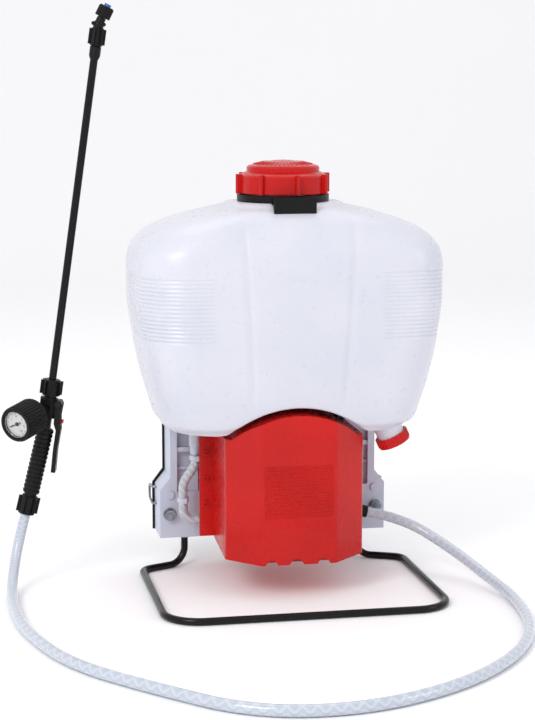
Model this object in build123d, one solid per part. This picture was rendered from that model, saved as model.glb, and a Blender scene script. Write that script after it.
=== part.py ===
from build123d import *
import os
from math import cos, pi, radians, sin, tan

# Backpack sprayer with an electric pump. Millimetres, +Z up, -Y is the face away from the wearer.
# The origin is on the floor under the middle of the tank.

# ---- driving dimensions -------------------------------------------------------------------------
TANK_WIDTH = 380.0
TANK_DEPTH = 222.0
TANK_HEIGHT = 277.0           # flat bottom to the collar
TANK_BOTTOM = 204.0
TANK_WALL = 3.0
ARCH_RISE = 33.0              # hollow under the tank that takes the pump housing
ARCH_SPAN = 168.0
NECK_R = 47.0
NECK_WALL = 4.0
NECK_HEIGHT = 26.0            # above the tank top

HOUSING_HALF = 86.5           # half width of the red housing
HOUSING_PANEL = 46.0          # half width of its front panel
HOUSING_FRONT = -105.0
HOUSING_CORNER = -74.5        # where the chamfer meets the side
HOUSING_JOINT = 20.0          # plane where the front and rear shells meet
HOUSING_WALL = 3.0
HOUSING_ROUND = 7.0           # outer radius of its upright edges
RIDGE_R = 1.4
HOUSING_TOP = 198.0
HOUSING_LOW = 45.0            # underside at the front
HOUSING_SLOPE = 0.09          # the underside climbs to the back
FLANGE_HALF = 104.0
FLANGE_THICK = 6.0
RIDGES = 13
RIDGE_PITCH = 5.0

REAR_HALF = 96.0
REAR_DEPTH = 78.0
REAR_LOW = 56.0
REAR_TOP = 184.0

BRACKET_FRONT = 60.0
BRACKET_DEPTH = 52.0
BRACKET_WALL = 4.0
POCKET_FRONT = 10.0           # depth of the pocket in the bracket's front
BRACKET_WIDE = 148.5          # outer edge of the foot
BRACKET_NARROW = 135.0        # outer edge above the foot
BRACKET_TOP = 196.0
BRACKET_LOW = 44.0
PLATE_THICK = 4.0
PLATE_DROP = 21.0             # the back plate ends this far below the tank's top
PAD_THICK = 20.0

ROD_D = 9.0
STAND_SIDE = 173.0
STAND_FRONT = -186.0
STAND_BACK = 55.0
SOCKET_X = 114.0
SOCKET_Y = 82.0

CAP_R = 55.0
CAP_SKIRT = 23.0
CAP_WINGS = 8
CAP_WING_OUT = 6.0
GASKET_THICK = 3.0
STRAINER_FLANGE = 2.0
STRAINER_DEPTH = 70.0
DRAIN_R = 21.0
DRAIN_TILT = 25.0

BATTERY = (151.0, 65.0, 94.0)
MOTOR_R = 25.0
MOTOR_LENGTH = 62.0
SHAFT_R = 2.5
SUCTION_D = 11.5
HOSE_D = 13.0

LANCE_R = 4.7
LANCE_LENGTH = 396.0
GRIP_R = 10.5
GRIP_LENGTH = 84.0
GRIP_RINGS = 15
GAUGE_R = 22.3
GAUGE_DEPTH = 34.0

SWITCH_Y = -42.0              # middle of the power switch on the right side
SWITCH_Z = 105.0
POCKET = (42.0, 50.0)         # size of the switch pocket along Y and Z
POCKET_DEPTH = 6.5
SCREW_Z = (98.0, 131.0, 164.0)# heights of the housing screws
SCREW_X = 95.5
BATTERY_X = -4.0              # middle of the battery
BATTERY_Y = -33.5
ROCKER_TILT = 7.0             # degrees
BOLT_X = 136.0                # bolts that hold the brackets to the back plate
BOLT_Z = 75.0
HOOK_LOW = 82.0               # lower and upper leg of the strap hooks
HOOK_TOP = 104.0
STRAP_X = 62.0                # middle of each shoulder strap
STRAP_WIDE = 50.0
PIVOT_X = 11.6                # lever pivot, in the wand's own frame
PIVOT_Z = -33.0
STEM_Z = -50.0                # valve stem along the wand
LOCK_X = 13.4                 # pivot of the lever's catch
LOCK_Z = -57.5
NEEDLE_REST = 120.0           # degrees, needle on its zero mark

# ---- clearances ---------------------------------------------------------------------------------
RUNNING = 0.05                # radial gap of a turning or sliding fit
LOOSE = 0.4                   # moving parts that must never rub
THREAD_GAP = 0.6              # plain walls that stand for a coarse plastic thread
SHELL_GAP = 8.0               # tank over housing
SCREW_GAP = 0.2

# ---- sizes that follow --------------------------------------------------------------------------
TANK_TOP = TANK_BOTTOM + TANK_HEIGHT
PLATE_TOP = TANK_TOP - PLATE_DROP
NECK_TOP = TANK_TOP + NECK_HEIGHT
ARCH_R = ((ARCH_SPAN / 2) ** 2 + ARCH_RISE ** 2) / (2 * ARCH_RISE)
ARCH_Z = TANK_BOTTOM + ARCH_RISE - ARCH_R
FLANGE_Y = HOUSING_JOINT - FLANGE_THICK
BRACKET_BACK = BRACKET_FRONT + BRACKET_DEPTH
PLATE_BACK = BRACKET_BACK + PLATE_THICK
ROD_R = ROD_D / 2
FLOW_X = -107.0               # tank outlet
FLOW_Y = 30.0                 # plane of the hoses beside the housing
PORT_Z = 74.0                 # pump inlet and outlet height
OUTLET_DROP = 44.0            # tank floor to where the suction hose starts
PUMP_AXIS = (58.0, 110.0)     # y and z of the motor shaft

# The wand leans in a plane square to the view: its own frame has the lance along +Z.
WAND_TURN = -11.0
WAND_LEAN = 8.3
WAND_AT = (-286.3, 14.9, 267.7)
GRIP_LEAN = 5.5
GRIP_START = -60.0            # along the lance, where the grip starts to lean


def wand_plane():
    """Frame of the wand: z along the lance, x to the lever side, y away from the front."""
    turn, lean = radians(WAND_TURN), radians(WAND_LEAN)
    right = Vector(cos(turn), sin(turn), 0)
    up = Vector(0, 0, 1)
    return Plane(origin=WAND_AT, x_dir=right * cos(lean) - up * sin(lean), z_dir=right * sin(lean)
            + up * cos(lean))


WAND = wand_plane().location
GRIP = WAND * Location((0, 0, GRIP_START), (0, GRIP_LEAN, 0))
NOZZLE_S = 432.0
NOZZLE_LEAN = 18.6
NOZZLE = WAND * Location((0, 0, NOZZLE_S), (0, NOZZLE_LEAN, 0))
GAUGE_AXIS = (-0.46, -0.84, -0.25)
GAUGE_S = -38.5
GAUGE_REACH = 66.0            # valve axis to the dial


def gauge_plane():
    """Frame of the gauge: z along its axis, out of the dial; y stays near the lance direction."""
    axis = Vector(*GAUGE_AXIS).normalized()
    side = Vector(0, 0, 1).cross(axis).normalized()
    return Plane(origin=(0, 0, GAUGE_S), x_dir=side, z_dir=axis)


GAUGE = WAND * gauge_plane().location
DRAIN_AT = (113.0, -60.0, 220.0)
DRAIN = Plane(origin=DRAIN_AT, x_dir=(cos(radians(DRAIN_TILT)), 0, sin(radians(DRAIN_TILT))),
              z_dir=(sin(radians(DRAIN_TILT)), 0, -cos(radians(DRAIN_TILT)))).location
DRAIN_NECK = 17.0
DRAIN_RIM = 28.0              # along the drain axis, where the cap starts
DRAIN_CAP_H = 11.0

# Share of the height, of the half width and of the half depth at each level of the tank.
TANK_FORM = (
    (0.0, 0.77, 0.80), (0.035, 0.835, 0.87), (0.11, 0.87, 0.91), (0.22, 0.915, 0.95),
    (0.40, 0.966, 0.985), (0.60, 1.0, 1.0), (0.72, 1.0, 1.0), (0.79, 0.985, 0.985),
    (0.84, 0.94, 0.95), (0.88, 0.875, 0.905), (0.92, 0.76, 0.83), (0.96, 0.58, 0.70), (1.0, 0.37, 0.54),
)

# The free hose, from the gland on the housing to the nut under the grip, as corner points.
HOSE_POINTS = (
    (118, 30, 74), (166, 24, 64), (216, -24, 34), (246, -104, 12), (255, -170, 7), (238, -284, 7),
    (186, -384, 7), (98, -468, 7), (-18, -520, 7), (-132, -508, 7), (-222, -414, 7), (-300, -318, 7),
    (-340, -188, 7), (-346, -92, 7), (-345, -34, 7), (-342, -7, 18.5), (-337, 13, 39.5), (-330, 23.5, 66),
    (-323, 22, 94.2),
)


# ---- small helpers ------------------------------------------------------------------------------
def rod(radius, low, high):
    """Cylinder about Z between two heights."""
    return Pos(0, 0, low) * Cylinder(radius, high - low, align=(Align.CENTER, Align.CENTER, Align.MIN))


def ring(outer, inner, low, high):
    """Tube about Z between two heights."""
    return rod(outer, low, high) - rod(inner, low - 1, high + 1)


def block(x0, x1, y0, y1, z0, z1):
    """Box between two corners."""
    return Pos((x0 + x1) / 2, (y0 + y1) / 2, (z0 + z1) / 2) * Box(x1 - x0, y1 - y0, z1 - z0)


def lathe(points):
    """Solid turned about Z from (radius, height) points."""
    return revolve(make_face(Plane.XZ * Polyline(*points, close=True)), Axis.Z)


def slab_xz(points, y0, y1):
    """Plate with an outline in X and Z, between two Y planes."""
    face = make_face(Polyline(*[(x, y0, z) for x, z in points], close=True))
    return extrude(face, y1 - y0, dir=(0, 1, 0))


def slab_yz(points, x0, x1):
    """Plate with an outline in Y and Z, between two X planes."""
    face = make_face(Polyline(*[(x0, y, z) for y, z in points], close=True))
    return extrude(face, x1 - x0, dir=(1, 0, 0))


def along_x(part):
    """Turns a part made about Z so that it lies along X."""
    return Rot(0, 90, 0) * part


def along_y(part):
    """Turns a part made about Z so that it lies along Y, its base toward -Y."""
    return Rot(-90, 0, 0) * part


def corner_radii(points, share=0.45):
    """Largest arc at each inner corner that leaves both runs room for their neighbours' arcs."""
    radii = []
    for a, b, c in zip(points, points[1:], points[2:]):
        before, after = Vector(*b) - Vector(*a), Vector(*c) - Vector(*b)
        turn = radians(before.get_angle(after))
        radii.append(share * min(before.length, after.length) / tan(turn / 2))
    return radii


def pipe(points, radius, bends=None, bore=0.0):
    """Round bar or tube along corner points, with an arc at each corner."""
    radii = bends or corner_radii(points)
    path = FilletPolyline(*points, radius=radii)
    start = Plane(origin=path @ 0, z_dir=path % 0)
    body = sweep(start * Circle(radius), path=path)
    if bore:
        body -= sweep(start * Circle(bore), path=path)
    return body


def save(name, part):
    """Writes one node."""
    part.label = name
    export_step(part, f"parts/{name}.step")


# ---- tank ---------------------------------------------------------------------------------------
def tank_form(inset):
    """Outer form of the tank, or the form one wall further in."""
    levels = []
    for up, wide, deep in TANK_FORM:
        half_w = wide * TANK_WIDTH / 2 - inset
        half_d = deep * TANK_DEPTH / 2 - inset
        z = TANK_BOTTOM + up * TANK_HEIGHT
        z = min(max(z, TANK_BOTTOM + inset), TANK_TOP - inset)
        corner = min(62.0, 0.9 * half_d)
        levels.append(Pos(0, 0, z) * RectangleRounded(2 * half_w, 2 * half_d, corner))
    return loft(levels)


def arch_bar(radius):
    """Long bar whose top is the arch under the tank."""
    return Pos(0, -TANK_DEPTH, ARCH_Z) * along_y(rod(radius, 0, 2 * TANK_DEPTH))


def drain_neck(outer, top):
    """Spout that leaves the tank's lower right corner."""
    return DRAIN * rod(outer, 2, top)


def tank():
    skin = tank_form(0) - arch_bar(ARCH_R) + rod(NECK_R, TANK_TOP - 12, NECK_TOP)
    for z in (TANK_TOP + 13.5, TANK_TOP + 20):
        skin += ring(CAP_R - 6.2, NECK_R - 1, z, z + 2.2)
    skin += drain_neck(DRAIN_NECK, DRAIN_RIM + 8)
    hollow = tank_form(TANK_WALL) - arch_bar(ARCH_R + TANK_WALL)
    skin -= hollow
    skin -= rod(NECK_R - NECK_WALL, TANK_TOP - 14, NECK_TOP + 1)
    skin -= drain_neck(DRAIN_NECK - 4, DRAIN_RIM + 9)
    skin -= Pos(FLOW_X, FLOW_Y, 0) * rod(7.2, TANK_BOTTOM - 1, TANK_BOTTOM + TANK_WALL + 1)
    return skin


def neck_collar():
    """Black ring under the cap with the lance rest in front."""
    low, top = TANK_TOP - 11, TANK_TOP + 9
    collar = ring(NECK_R + 10, NECK_R + 0.3, TANK_TOP - 5, top)
    front = -(NECK_R + 30)
    rest = block(-26, 26, front, front + 24, low, top - 0.6)
    rest -= block(-27, 27, front + 4, front + 14, low + 11, top + 1)
    collar += rest
    collar += block(-26, 26, front + 20, front + 32, TANK_TOP - 4, top - 0.6) - rod(NECK_R + 0.3, 0, 600)
    return collar - tank_form(-0.05)


def strainer_basket():
    flange = ring(NECK_R - 0.2, 34, NECK_TOP, NECK_TOP + STRAINER_FLANGE)
    outer = NECK_R - NECK_WALL - 0.6
    cup = rod(outer, NECK_TOP - STRAINER_DEPTH, NECK_TOP + 0.5) - rod(outer - 1.6, NECK_TOP
            - STRAINER_DEPTH + 1.6, NECK_TOP + 3)
    windows = 10
    for i in range(windows):
        turn = Rot(0, 0, 360 / windows * i)
        cup -= turn * block(outer - 6, outer + 4, -9, 9, NECK_TOP - STRAINER_DEPTH + 7, NECK_TOP - 10)
    mesh = ring(outer - 0.9, outer - 1.5, NECK_TOP - STRAINER_DEPTH + 1, NECK_TOP - 5)
    return (flange - rod(outer - 1.6, 0, 600)) + cup + mesh


def cap_low():
    return NECK_TOP + STRAINER_FLANGE + GASKET_THICK - CAP_SKIRT + 2


def cap_gasket():
    low = NECK_TOP + STRAINER_FLANGE
    return ring(NECK_R + 1.6, 39, low, low + GASKET_THICK)


def filler_cap():
    low = cap_low()
    seat = NECK_TOP + STRAINER_FLANGE + GASKET_THICK
    top = low + CAP_SKIRT
    tier = CAP_R - 10
    body = lathe([(0, low), (CAP_R - 0.8, low), (CAP_R, low + 0.8), (CAP_R, top - 2), (CAP_R - 2, top),
                  (tier + 2, top + 3), (tier, top + 4), (tier, top + 9), (tier - 2, top + 11), (tier - 8,
                          top + 12.6),
                  (tier - 20, top + 15.4), (tier - 34, top + 17.2), (0, top + 17.8)])
    for i in range(CAP_WINGS):
        angle = 360 / CAP_WINGS * i + 18 + WAND_TURN
        wing = block(CAP_R - 1.5, CAP_R + CAP_WING_OUT - 2.2, -2.2, 2.2, low + 0.4, top + 1)
        wing += Pos(CAP_R + CAP_WING_OUT - 2.4, 0, 0) * rod(2.4, low + 0.4, top + 1)
        body += Rot(0, 0, angle - 90) * wing
    body -= rod(CAP_R - 6.2 + THREAD_GAP, low - 1, seat)
    body -= rod(38, low, seat + 8)
    body -= rod(2.5, seat, top + 30)
    return body


def cap_vent():
    ceiling = NECK_TOP + STRAINER_FLANGE + GASKET_THICK + 8
    return rod(8, ceiling - 1.6, ceiling) + rod(2.4, ceiling - 1, ceiling + 9)


def drain_gasket():
    return DRAIN * ring(DRAIN_NECK, DRAIN_NECK - 4, DRAIN_RIM + 8, DRAIN_RIM + 10)


def drain_cap():
    body = rod(DRAIN_R - 1, DRAIN_RIM + 0.5, DRAIN_RIM + 0.5 + DRAIN_CAP_H + 1.5)
    ribs = 28
    for i in range(ribs):
        body += Rot(0, 0, 360 / ribs * i) * Pos(DRAIN_R - 1, 0, 0) * rod(1.0, DRAIN_RIM + 0.5, DRAIN_RIM
                + DRAIN_CAP_H)
    body -= rod(DRAIN_NECK + LOOSE, DRAIN_RIM, DRAIN_RIM + 10)
    return DRAIN * body


def tank_outlet():
    """Bulkhead fitting through the tank floor, with its nut inside."""
    floor = TANK_BOTTOM
    tip = floor - OUTLET_DROP
    body = lathe([(2.2, tip - 9), (3.9, tip - 9), (3.9, tip), (6.4, tip), (6.4, tip + 9), (8, tip + 10),
                  (8, floor - 10), (11, floor - 9), (11, floor), (7, floor), (7, floor + 12), (2.2, floor
                          + 12)])
    nut = extrude(Pos(0, 0, floor + TANK_WALL) * RegularPolygon(12, 6), 5) - rod(7.05, 0, 600)
    return Compound(children=[Pos(FLOW_X, FLOW_Y, 0) * body, Pos(FLOW_X, FLOW_Y, 0) * nut])


# ---- suction line beside the housing ------------------------------------------------------------
def suction_hose():
    start = TANK_BOTTOM - OUTLET_DROP
    points = [(FLOW_X, FLOW_Y, start), (FLOW_X, FLOW_Y, start - 14), (FLOW_X - 16, FLOW_Y, start - 38),
              (FLOW_X - 16, FLOW_Y, PORT_Z), (-REAR_HALF - 4, FLOW_Y, PORT_Z)]
    return pipe(points, SUCTION_D / 2, bends=[14, 22, 14], bore=4.0)


def hose_clips():
    clip = ring(SUCTION_D / 2 + 1.6, SUCTION_D / 2 + 0.05, 0, 6) + block(-3, 3, -SUCTION_D / 2 - 7,
            -SUCTION_D / 2 - 0.8, 0, 6)
    upper = Pos(FLOW_X, FLOW_Y, TANK_BOTTOM - OUTLET_DROP - 8) * clip
    lower = Pos(FLOW_X - 16, FLOW_Y, PORT_Z + 24) * clip
    return Compound(children=[upper, lower])


def pump_inlet():
    """Elbow through the left wall of the rear shell to the pump head."""
    wall = -REAR_HALF
    part = Pos(wall - 4, FLOW_Y, PORT_Z) * along_x(rod(8, 0, 4))
    part += Pos(wall - 12, FLOW_Y, PORT_Z) * along_x(rod(3.9, 0, 30))
    part += Pos(wall + 16, FLOW_Y, PORT_Z) * Sphere(5)
    part += Pos(wall + 16, FLOW_Y, PORT_Z) * rod(4.5, 0, 22)
    part += Pos(wall + 16, FLOW_Y, PORT_Z + 22) * Sphere(5)
    part += Pos(wall + 16, FLOW_Y, PORT_Z + 22) * along_x(rod(4.5, 0, 10))
    return part


# ---- housing ------------------------------------------------------------------------------------
def housing_plan(inset):
    """Half octagon seen from above."""
    half, panel = HOUSING_HALF - inset, HOUSING_PANEL - 0.45 * inset
    front = HOUSING_FRONT + inset
    back = HOUSING_JOINT
    corner = HOUSING_CORNER + 0.3 * inset
    plan = make_face(Polyline((-half, back), (-half, corner), (-panel, front), (panel, front), (half, corner),
                              (half, back), close=True))
    edges = [corner for corner in plan.vertices() if corner.Y < back - 1]
    return fillet(edges, HOUSING_ROUND - inset)


def housing_form(inset):
    body = extrude(housing_plan(inset), 260)
    side = [(HOUSING_FRONT - 5, HOUSING_LOW + inset - 5 * HOUSING_SLOPE), (HOUSING_JOINT + 1,
            rear_low() + inset),
            (HOUSING_JOINT + 1, 300), (HOUSING_FRONT - 5, 300)]
    body &= slab_yz(side, -200, 200)
    crown = ARCH_R - SHELL_GAP - inset
    low = block(-200, 200, -200, 200, 0, HOUSING_TOP - inset)
    return body & (low + arch_bar(crown))


def rear_low():
    return HOUSING_LOW + HOUSING_SLOPE * (HOUSING_JOINT + 1 - HOUSING_FRONT)


def front_housing():
    body = housing_form(0) - housing_form(HOUSING_WALL)
    flange = block(-FLANGE_HALF, FLANGE_HALF, FLANGE_Y, HOUSING_JOINT, REAR_LOW, REAR_TOP)
    flange -= block(-HOUSING_HALF + 2, HOUSING_HALF - 2, FLANGE_Y - 1, HOUSING_JOINT + 1, 0, 300)
    body += flange
    for i in range(RIDGES):
        z = 106 + i * RIDGE_PITCH
        ridge = Pos(0, HOUSING_FRONT, z) * along_x(rod(RIDGE_R, -HOUSING_PANEL + 4, HOUSING_PANEL - 4))
        body += ridge
    for x in (-50, 0, 50):
        web = block(x - 2, x + 2, -66, -1, 30, battery_low())
        body += web & housing_form(HOUSING_WALL / 2)
    for x, half in ((-34, 8), (-3, 9), (31, 8)):
        body -= Pos(x, HOUSING_FRONT - 5, HOUSING_LOW - 2) * along_y(rod(half, 0, 16))
    y0, y1 = SWITCH_Y - POCKET[0] / 2, SWITCH_Y + POCKET[0] / 2
    z0, z1 = SWITCH_Z - POCKET[1] / 2, SWITCH_Z + POCKET[1] / 2
    floor = HOUSING_HALF - POCKET_DEPTH
    body += block(floor - 2.5, HOUSING_HALF - 1, y0 - 2.5, y1 + 2.5, z0 - 2.5, z1 + 2.5)
    body -= block(floor, HOUSING_HALF + 2, y0, y1, z0, z1)
    body -= block(floor - 5, floor + 1, SWITCH_Y - 8.4, SWITCH_Y + 8.4, SWITCH_Z - 14.4, SWITCH_Z + 14.4)
    body -= Pos(HOUSING_HALF - 8, -4, 104) * along_x(rod(7.2, 0, 12))
    for x in (-SCREW_X, SCREW_X):
        for z in SCREW_Z:
            body -= Pos(x, FLANGE_Y - 1, z) * along_y(rod(2 + SCREW_GAP, 0, 12))
    return body


def rear_housing():
    y0, y1 = HOUSING_JOINT, HOUSING_JOINT + REAR_DEPTH
    body = block(-REAR_HALF, REAR_HALF, y0, y1, REAR_LOW, REAR_TOP)
    body -= block(-REAR_HALF + 3, REAR_HALF - 3, y0 - 1, y1 - 3, REAR_LOW + 3, REAR_TOP - 3)
    for x in (-SCREW_X, SCREW_X):
        for z in SCREW_Z:
            body += Pos(x, y0, z) * along_y(rod(4.6, 0, 20))
            body -= Pos(x, y0 - 1, z) * along_y(rod(2.0, 0, 15))
    body -= Pos(-REAR_HALF, FLOW_Y, PORT_Z) * along_x(rod(3.9 + SCREW_GAP, -4, 4))
    body -= Pos(REAR_HALF, FLOW_Y, PORT_Z) * along_x(rod(5 + SCREW_GAP, -4, 4))
    body += block(-8, 54, 36, 80, REAR_LOW + 1, PUMP_AXIS[1] - MOTOR_R + 8) - (
        Pos(0, *PUMP_AXIS) * along_x(rod(MOTOR_R, -100, 100)))
    return body


def housing_screws():
    screws = []
    for x in (-SCREW_X, SCREW_X):
        for z in SCREW_Z:
            screw = rod(2.0, 0, FLANGE_THICK + 12) + rod(3.8, -2.4, 0)
            screw -= block(-0.5, 0.5, -3, 3, -3, -1.2) + block(-3, 3, -0.5, 0.5, -3, -1.2)
            screws.append(Pos(x, FLANGE_Y, z) * along_y(screw))
    return Compound(children=screws)


def battery_low():
    return HOUSING_LOW + HOUSING_SLOPE * 104 + HOUSING_WALL + 9


def battery():
    wide, deep, high = BATTERY
    case = Pos(BATTERY_X, BATTERY_Y, battery_low()) * Box(wide, deep, high, align=(Align.CENTER,
            Align.CENTER, Align.MIN))
    case = fillet(case.edges().filter_by(Axis.Z), 3)
    top = battery_low() + high
    return case - block(BATTERY_X - 66, BATTERY_X + 66, BATTERY_Y - 3, BATTERY_Y + 3, top - 2, top + 1)


def battery_terminals():
    top = battery_low() + BATTERY[2]
    tabs = []
    for x in (-60, 60):
        at = Pos(BATTERY_X + x, BATTERY_Y + 18, top)
        tabs.append(at * (block(-6, 6, -5, 5, 0, 1.5) + block(-0.8, 0.8, -3.2, 3.2, 1, 8)))
    return Compound(children=tabs)


def pump_motor():
    can = rod(MOTOR_R, 0, MOTOR_LENGTH) - rod(MOTOR_R - 3, 3, MOTOR_LENGTH - 3)
    can -= rod(SHAFT_R + RUNNING, -1, MOTOR_LENGTH + 1)
    return Pos(-8, *PUMP_AXIS) * along_x(can)


def motor_rotor():
    """Armature, shaft and the eccentric that drives the pump."""
    part = rod(SHAFT_R, -40, MOTOR_LENGTH + 4) + rod(17, 8, MOTOR_LENGTH - 10) + Pos(2.5, 0, 0) * rod(7,
            -34, -20)
    return Pos(-8, *PUMP_AXIS) * along_x(part)


def pump_head():
    y, z = PUMP_AXIS
    body = block(-70, -8, y - 28, y + 24, z - 28, z + 30)
    body -= Pos(0, y, z) * along_x(rod(14, -62, -14) + rod(SHAFT_R + RUNNING, -65, -7))
    body += Pos(-26, y, z + 30) * rod(7, 0, 10)
    return body


def pressure_switch():
    y, z = PUMP_AXIS
    return Pos(-54, y, z + 30) * (rod(9, 0, 14) + block(-3, -1.4, -3, 3, 13, 22) + block(1.4, 3, -3, 3,
            13, 22))


def switch_frame():
    floor = HOUSING_HALF - POCKET_DEPTH
    frame = block(floor, floor + 2, SWITCH_Y - 12, SWITCH_Y + 12, SWITCH_Z - 18, SWITCH_Z + 18)
    frame += block(floor - 6, floor + 1, SWITCH_Y - 8.2, SWITCH_Y + 8.2, SWITCH_Z - 14.2, SWITCH_Z + 14.2)
    frame -= block(floor - 4.5, floor + 3, SWITCH_Y - 6.6, SWITCH_Y + 6.6, SWITCH_Z - 12.6, SWITCH_Z + 12.6)
    frame += block(floor - 6, floor - 2, SWITCH_Y - 7, SWITCH_Y + 7, SWITCH_Z - 1.2, SWITCH_Z + 1.2)
    return frame


def power_switch():
    """Rocker that tips about Y; it rests with its lower half pressed in."""
    pivot = HOUSING_HALF - POCKET_DEPTH - 0.2
    outline = [(0, -1.5), (2.2, -12), (5.2, -12), (3.6, 0), (5.2, 12), (2.2, 12), (0, 1.5)]
    face = make_face(Plane.XZ * Polyline(*[(x, z) for x, z in outline], close=True))
    body = extrude(face, 6.1, both=True)
    return Pos(pivot, SWITCH_Y, SWITCH_Z) * Rot(0, -ROCKER_TILT, 0) * body


def charge_socket():
    return Pos(HOUSING_HALF - 8, -4, 104) * along_x(ring(7.1, 3.2, 0, 8) + ring(9, 6, 8, 9.5) + rod(1.0,
            -2, 6) + rod(7.1, -2, 0.5))


def wiring_harness():
    y, z = PUMP_AXIS
    top = battery_low() + BATTERY[2] + 5
    routes = (
        [(BATTERY_X + 60, BATTERY_Y + 22.8, top), (BATTERY_X + 60, 30, top), (58, 30, 150), (58, y - 14,
                z + 8)],
        [(BATTERY_X - 60, BATTERY_Y + 22.8, top), (BATTERY_X - 60, 26, top), (-52, 50, 170)],
        [(BATTERY_X + 62, BATTERY_Y + 22.8, top - 1), (74, BATTERY_Y + 24, top - 2), (74.5, SWITCH_Y, 140),
         (74.5, SWITCH_Y, SWITCH_Z + 16)],
    )
    return Compound(children=[pipe(points, 1.4, bends=[4] * (len(points) - 2)) for points in routes])


def pressure_hose():
    """Internal hose from the pump to the outlet gland."""
    y, z = PUMP_AXIS
    points = [(-26, y, z + 40), (-26, y, z + 56), (72, y, z + 56), (72, y, PORT_Z + 18), (72, FLOW_Y, PORT_Z),
              (REAR_HALF - 8, FLOW_Y, PORT_Z)]
    return pipe(points, 5, bends=[10, 12, 12, 9])


def outlet_gland():
    wall = REAR_HALF
    part = Pos(wall - 8, FLOW_Y, PORT_Z) * along_x(rod(5, 0, 12))
    part += Pos(wall, FLOW_Y, PORT_Z) * along_x(rod(10, 0, 3))
    part += Pos(wall + 3, FLOW_Y, PORT_Z) * along_x(extrude(RegularPolygon(9, 6), 6))
    leave = Plane(origin=HOSE_POINTS[0], z_dir=Vector(*HOSE_POINTS[1]) - Vector(*HOSE_POINTS[0])).location
    return part + leave * rod(7.8, -15, 0)


# ---- frame --------------------------------------------------------------------------------------
def bracket(side):
    """Moulded side bracket; side is -1 for the left one and 1 for the right one."""
    wide, narrow, low, top = BRACKET_WIDE, BRACKET_NARROW, BRACKET_LOW, BRACKET_TOP
    inner = REAR_HALF + 1.2
    outline = [(inner, low), (wide, low), (wide, low + 62), (narrow, low + 79), (narrow, top), (inner, top)]

    def plate(y0, y1, points):
        return slab_xz([(side * x, z) for x, z in points], y0, y1)

    body = plate(BRACKET_FRONT, BRACKET_BACK, outline)
    pocket = [(inner - 5, low + 60), (narrow - 9, low + 60), (narrow - 9, top - 4), (inner - 5, top - 4)]
    body -= plate(BRACKET_FRONT - 1, BRACKET_FRONT + POCKET_FRONT, pocket)
    core = [(inner + 4, low + 64), (narrow - 9, low + 64), (narrow - 9, top - 8), (inner + 4, top - 8)]
    body -= plate(BRACKET_FRONT + POCKET_FRONT + BRACKET_WALL, BRACKET_BACK + 1, core)
    shelf = [(inner, low + 112), (narrow - 5, low + 112), (narrow - 5, low + 118), (inner, low + 118)]
    body += plate(BRACKET_FRONT + 2, BRACKET_FRONT + POCKET_FRONT + 1, shelf)
    shelf = [(inner, low + 88), (narrow - 5, low + 88), (narrow - 5, low + 92), (inner, low + 92)]
    body += plate(BRACKET_FRONT + 6, BRACKET_FRONT + POCKET_FRONT + 1, shelf)
    body += Pos(side * SOCKET_X, SOCKET_Y, 0) * rod(9, low - 4, low + 20)
    body -= Pos(side * SOCKET_X, SOCKET_Y, 0) * rod(ROD_R + 0.02, low - 6, low + 22)
    body += Pos(side * (wide - 13.5), BRACKET_FRONT, low + 56) * along_y(rod(5, -2.5, 2))
    body -= Pos(side * BOLT_X, BRACKET_FRONT, BOLT_Z) * along_y(rod(4 + SCREW_GAP, -1, BRACKET_DEPTH + 1))
    for z in (HOOK_LOW, HOOK_TOP):
        body -= Pos(side * (wide - 12), 96, z) * along_x(rod(1.8, -14, 14))
    return body


def back_plate():
    half, wide = BRACKET_NARROW + 3, BRACKET_WIDE + 3
    low = BRACKET_LOW
    outline = [(0, low), (wide, low), (wide, low + 63), (half, low + 81), (half, 300), (96, PLATE_TOP - 22),
               (70, PLATE_TOP), (0, PLATE_TOP)]
    points = outline + [(-x, z) for x, z in reversed(outline) if x > 0]
    body = slab_xz(points, BRACKET_BACK, PLATE_BACK)
    body -= block(-54, 54, BRACKET_BACK - 1, PLATE_BACK + 1, PLATE_TOP - 36, PLATE_TOP - 12)
    for x in (-STRAP_X, STRAP_X):
        body -= block(x - 27, x + 27, BRACKET_BACK - 1, PLATE_BACK + 1, PLATE_TOP - 66, PLATE_TOP - 58)
    for x in (-BOLT_X, BOLT_X):
        body -= Pos(x, BRACKET_BACK, BOLT_Z) * along_y(rod(4 + SCREW_GAP, -1, PLATE_THICK + 1))
    grip = block(-54, 54, BRACKET_BACK - 4, BRACKET_BACK + 0.5, PLATE_TOP - 12, PLATE_TOP - 2)
    return body + fillet(grip.edges().filter_by(Axis.X), 1.8)


def back_pad():
    pad = block(-100, 100, PLATE_BACK, PLATE_BACK + PAD_THICK, 140, 360)
    pad = fillet(pad.edges().filter_by(Axis.Y), 24)
    return fillet(pad.faces().sort_by(Axis.Y)[-1].edges(), 8)


def stand_rod():
    top = BRACKET_LOW + 19
    half = [(SOCKET_X, SOCKET_Y, top), (SOCKET_X, SOCKET_Y, ROD_R), (STAND_SIDE, STAND_BACK, ROD_R),
            (STAND_SIDE, STAND_FRONT, ROD_R)]
    points = half + [(-x, y, z) for x, y, z in reversed(half)]
    return pipe(points, ROD_R, bends=[22, 20, 44, 44, 20, 22])


def bracket_bolts():
    bolts = []
    for x in (-BOLT_X, BOLT_X):
        length = PLATE_BACK - BRACKET_FRONT
        bolt = rod(4, -10, length + 2) + ring(8.5, 4, -1.6, 0)
        bolt += extrude(Pos(0, 0, -8) * RegularPolygon(7.4, 6), 6.4)
        bolt += extrude(Pos(0, 0, length) * RegularPolygon(7.4, 6), 5)
        bolts.append(Pos(x, BRACKET_FRONT, BOLT_Z) * along_y(bolt))
    return Compound(children=bolts)


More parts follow.
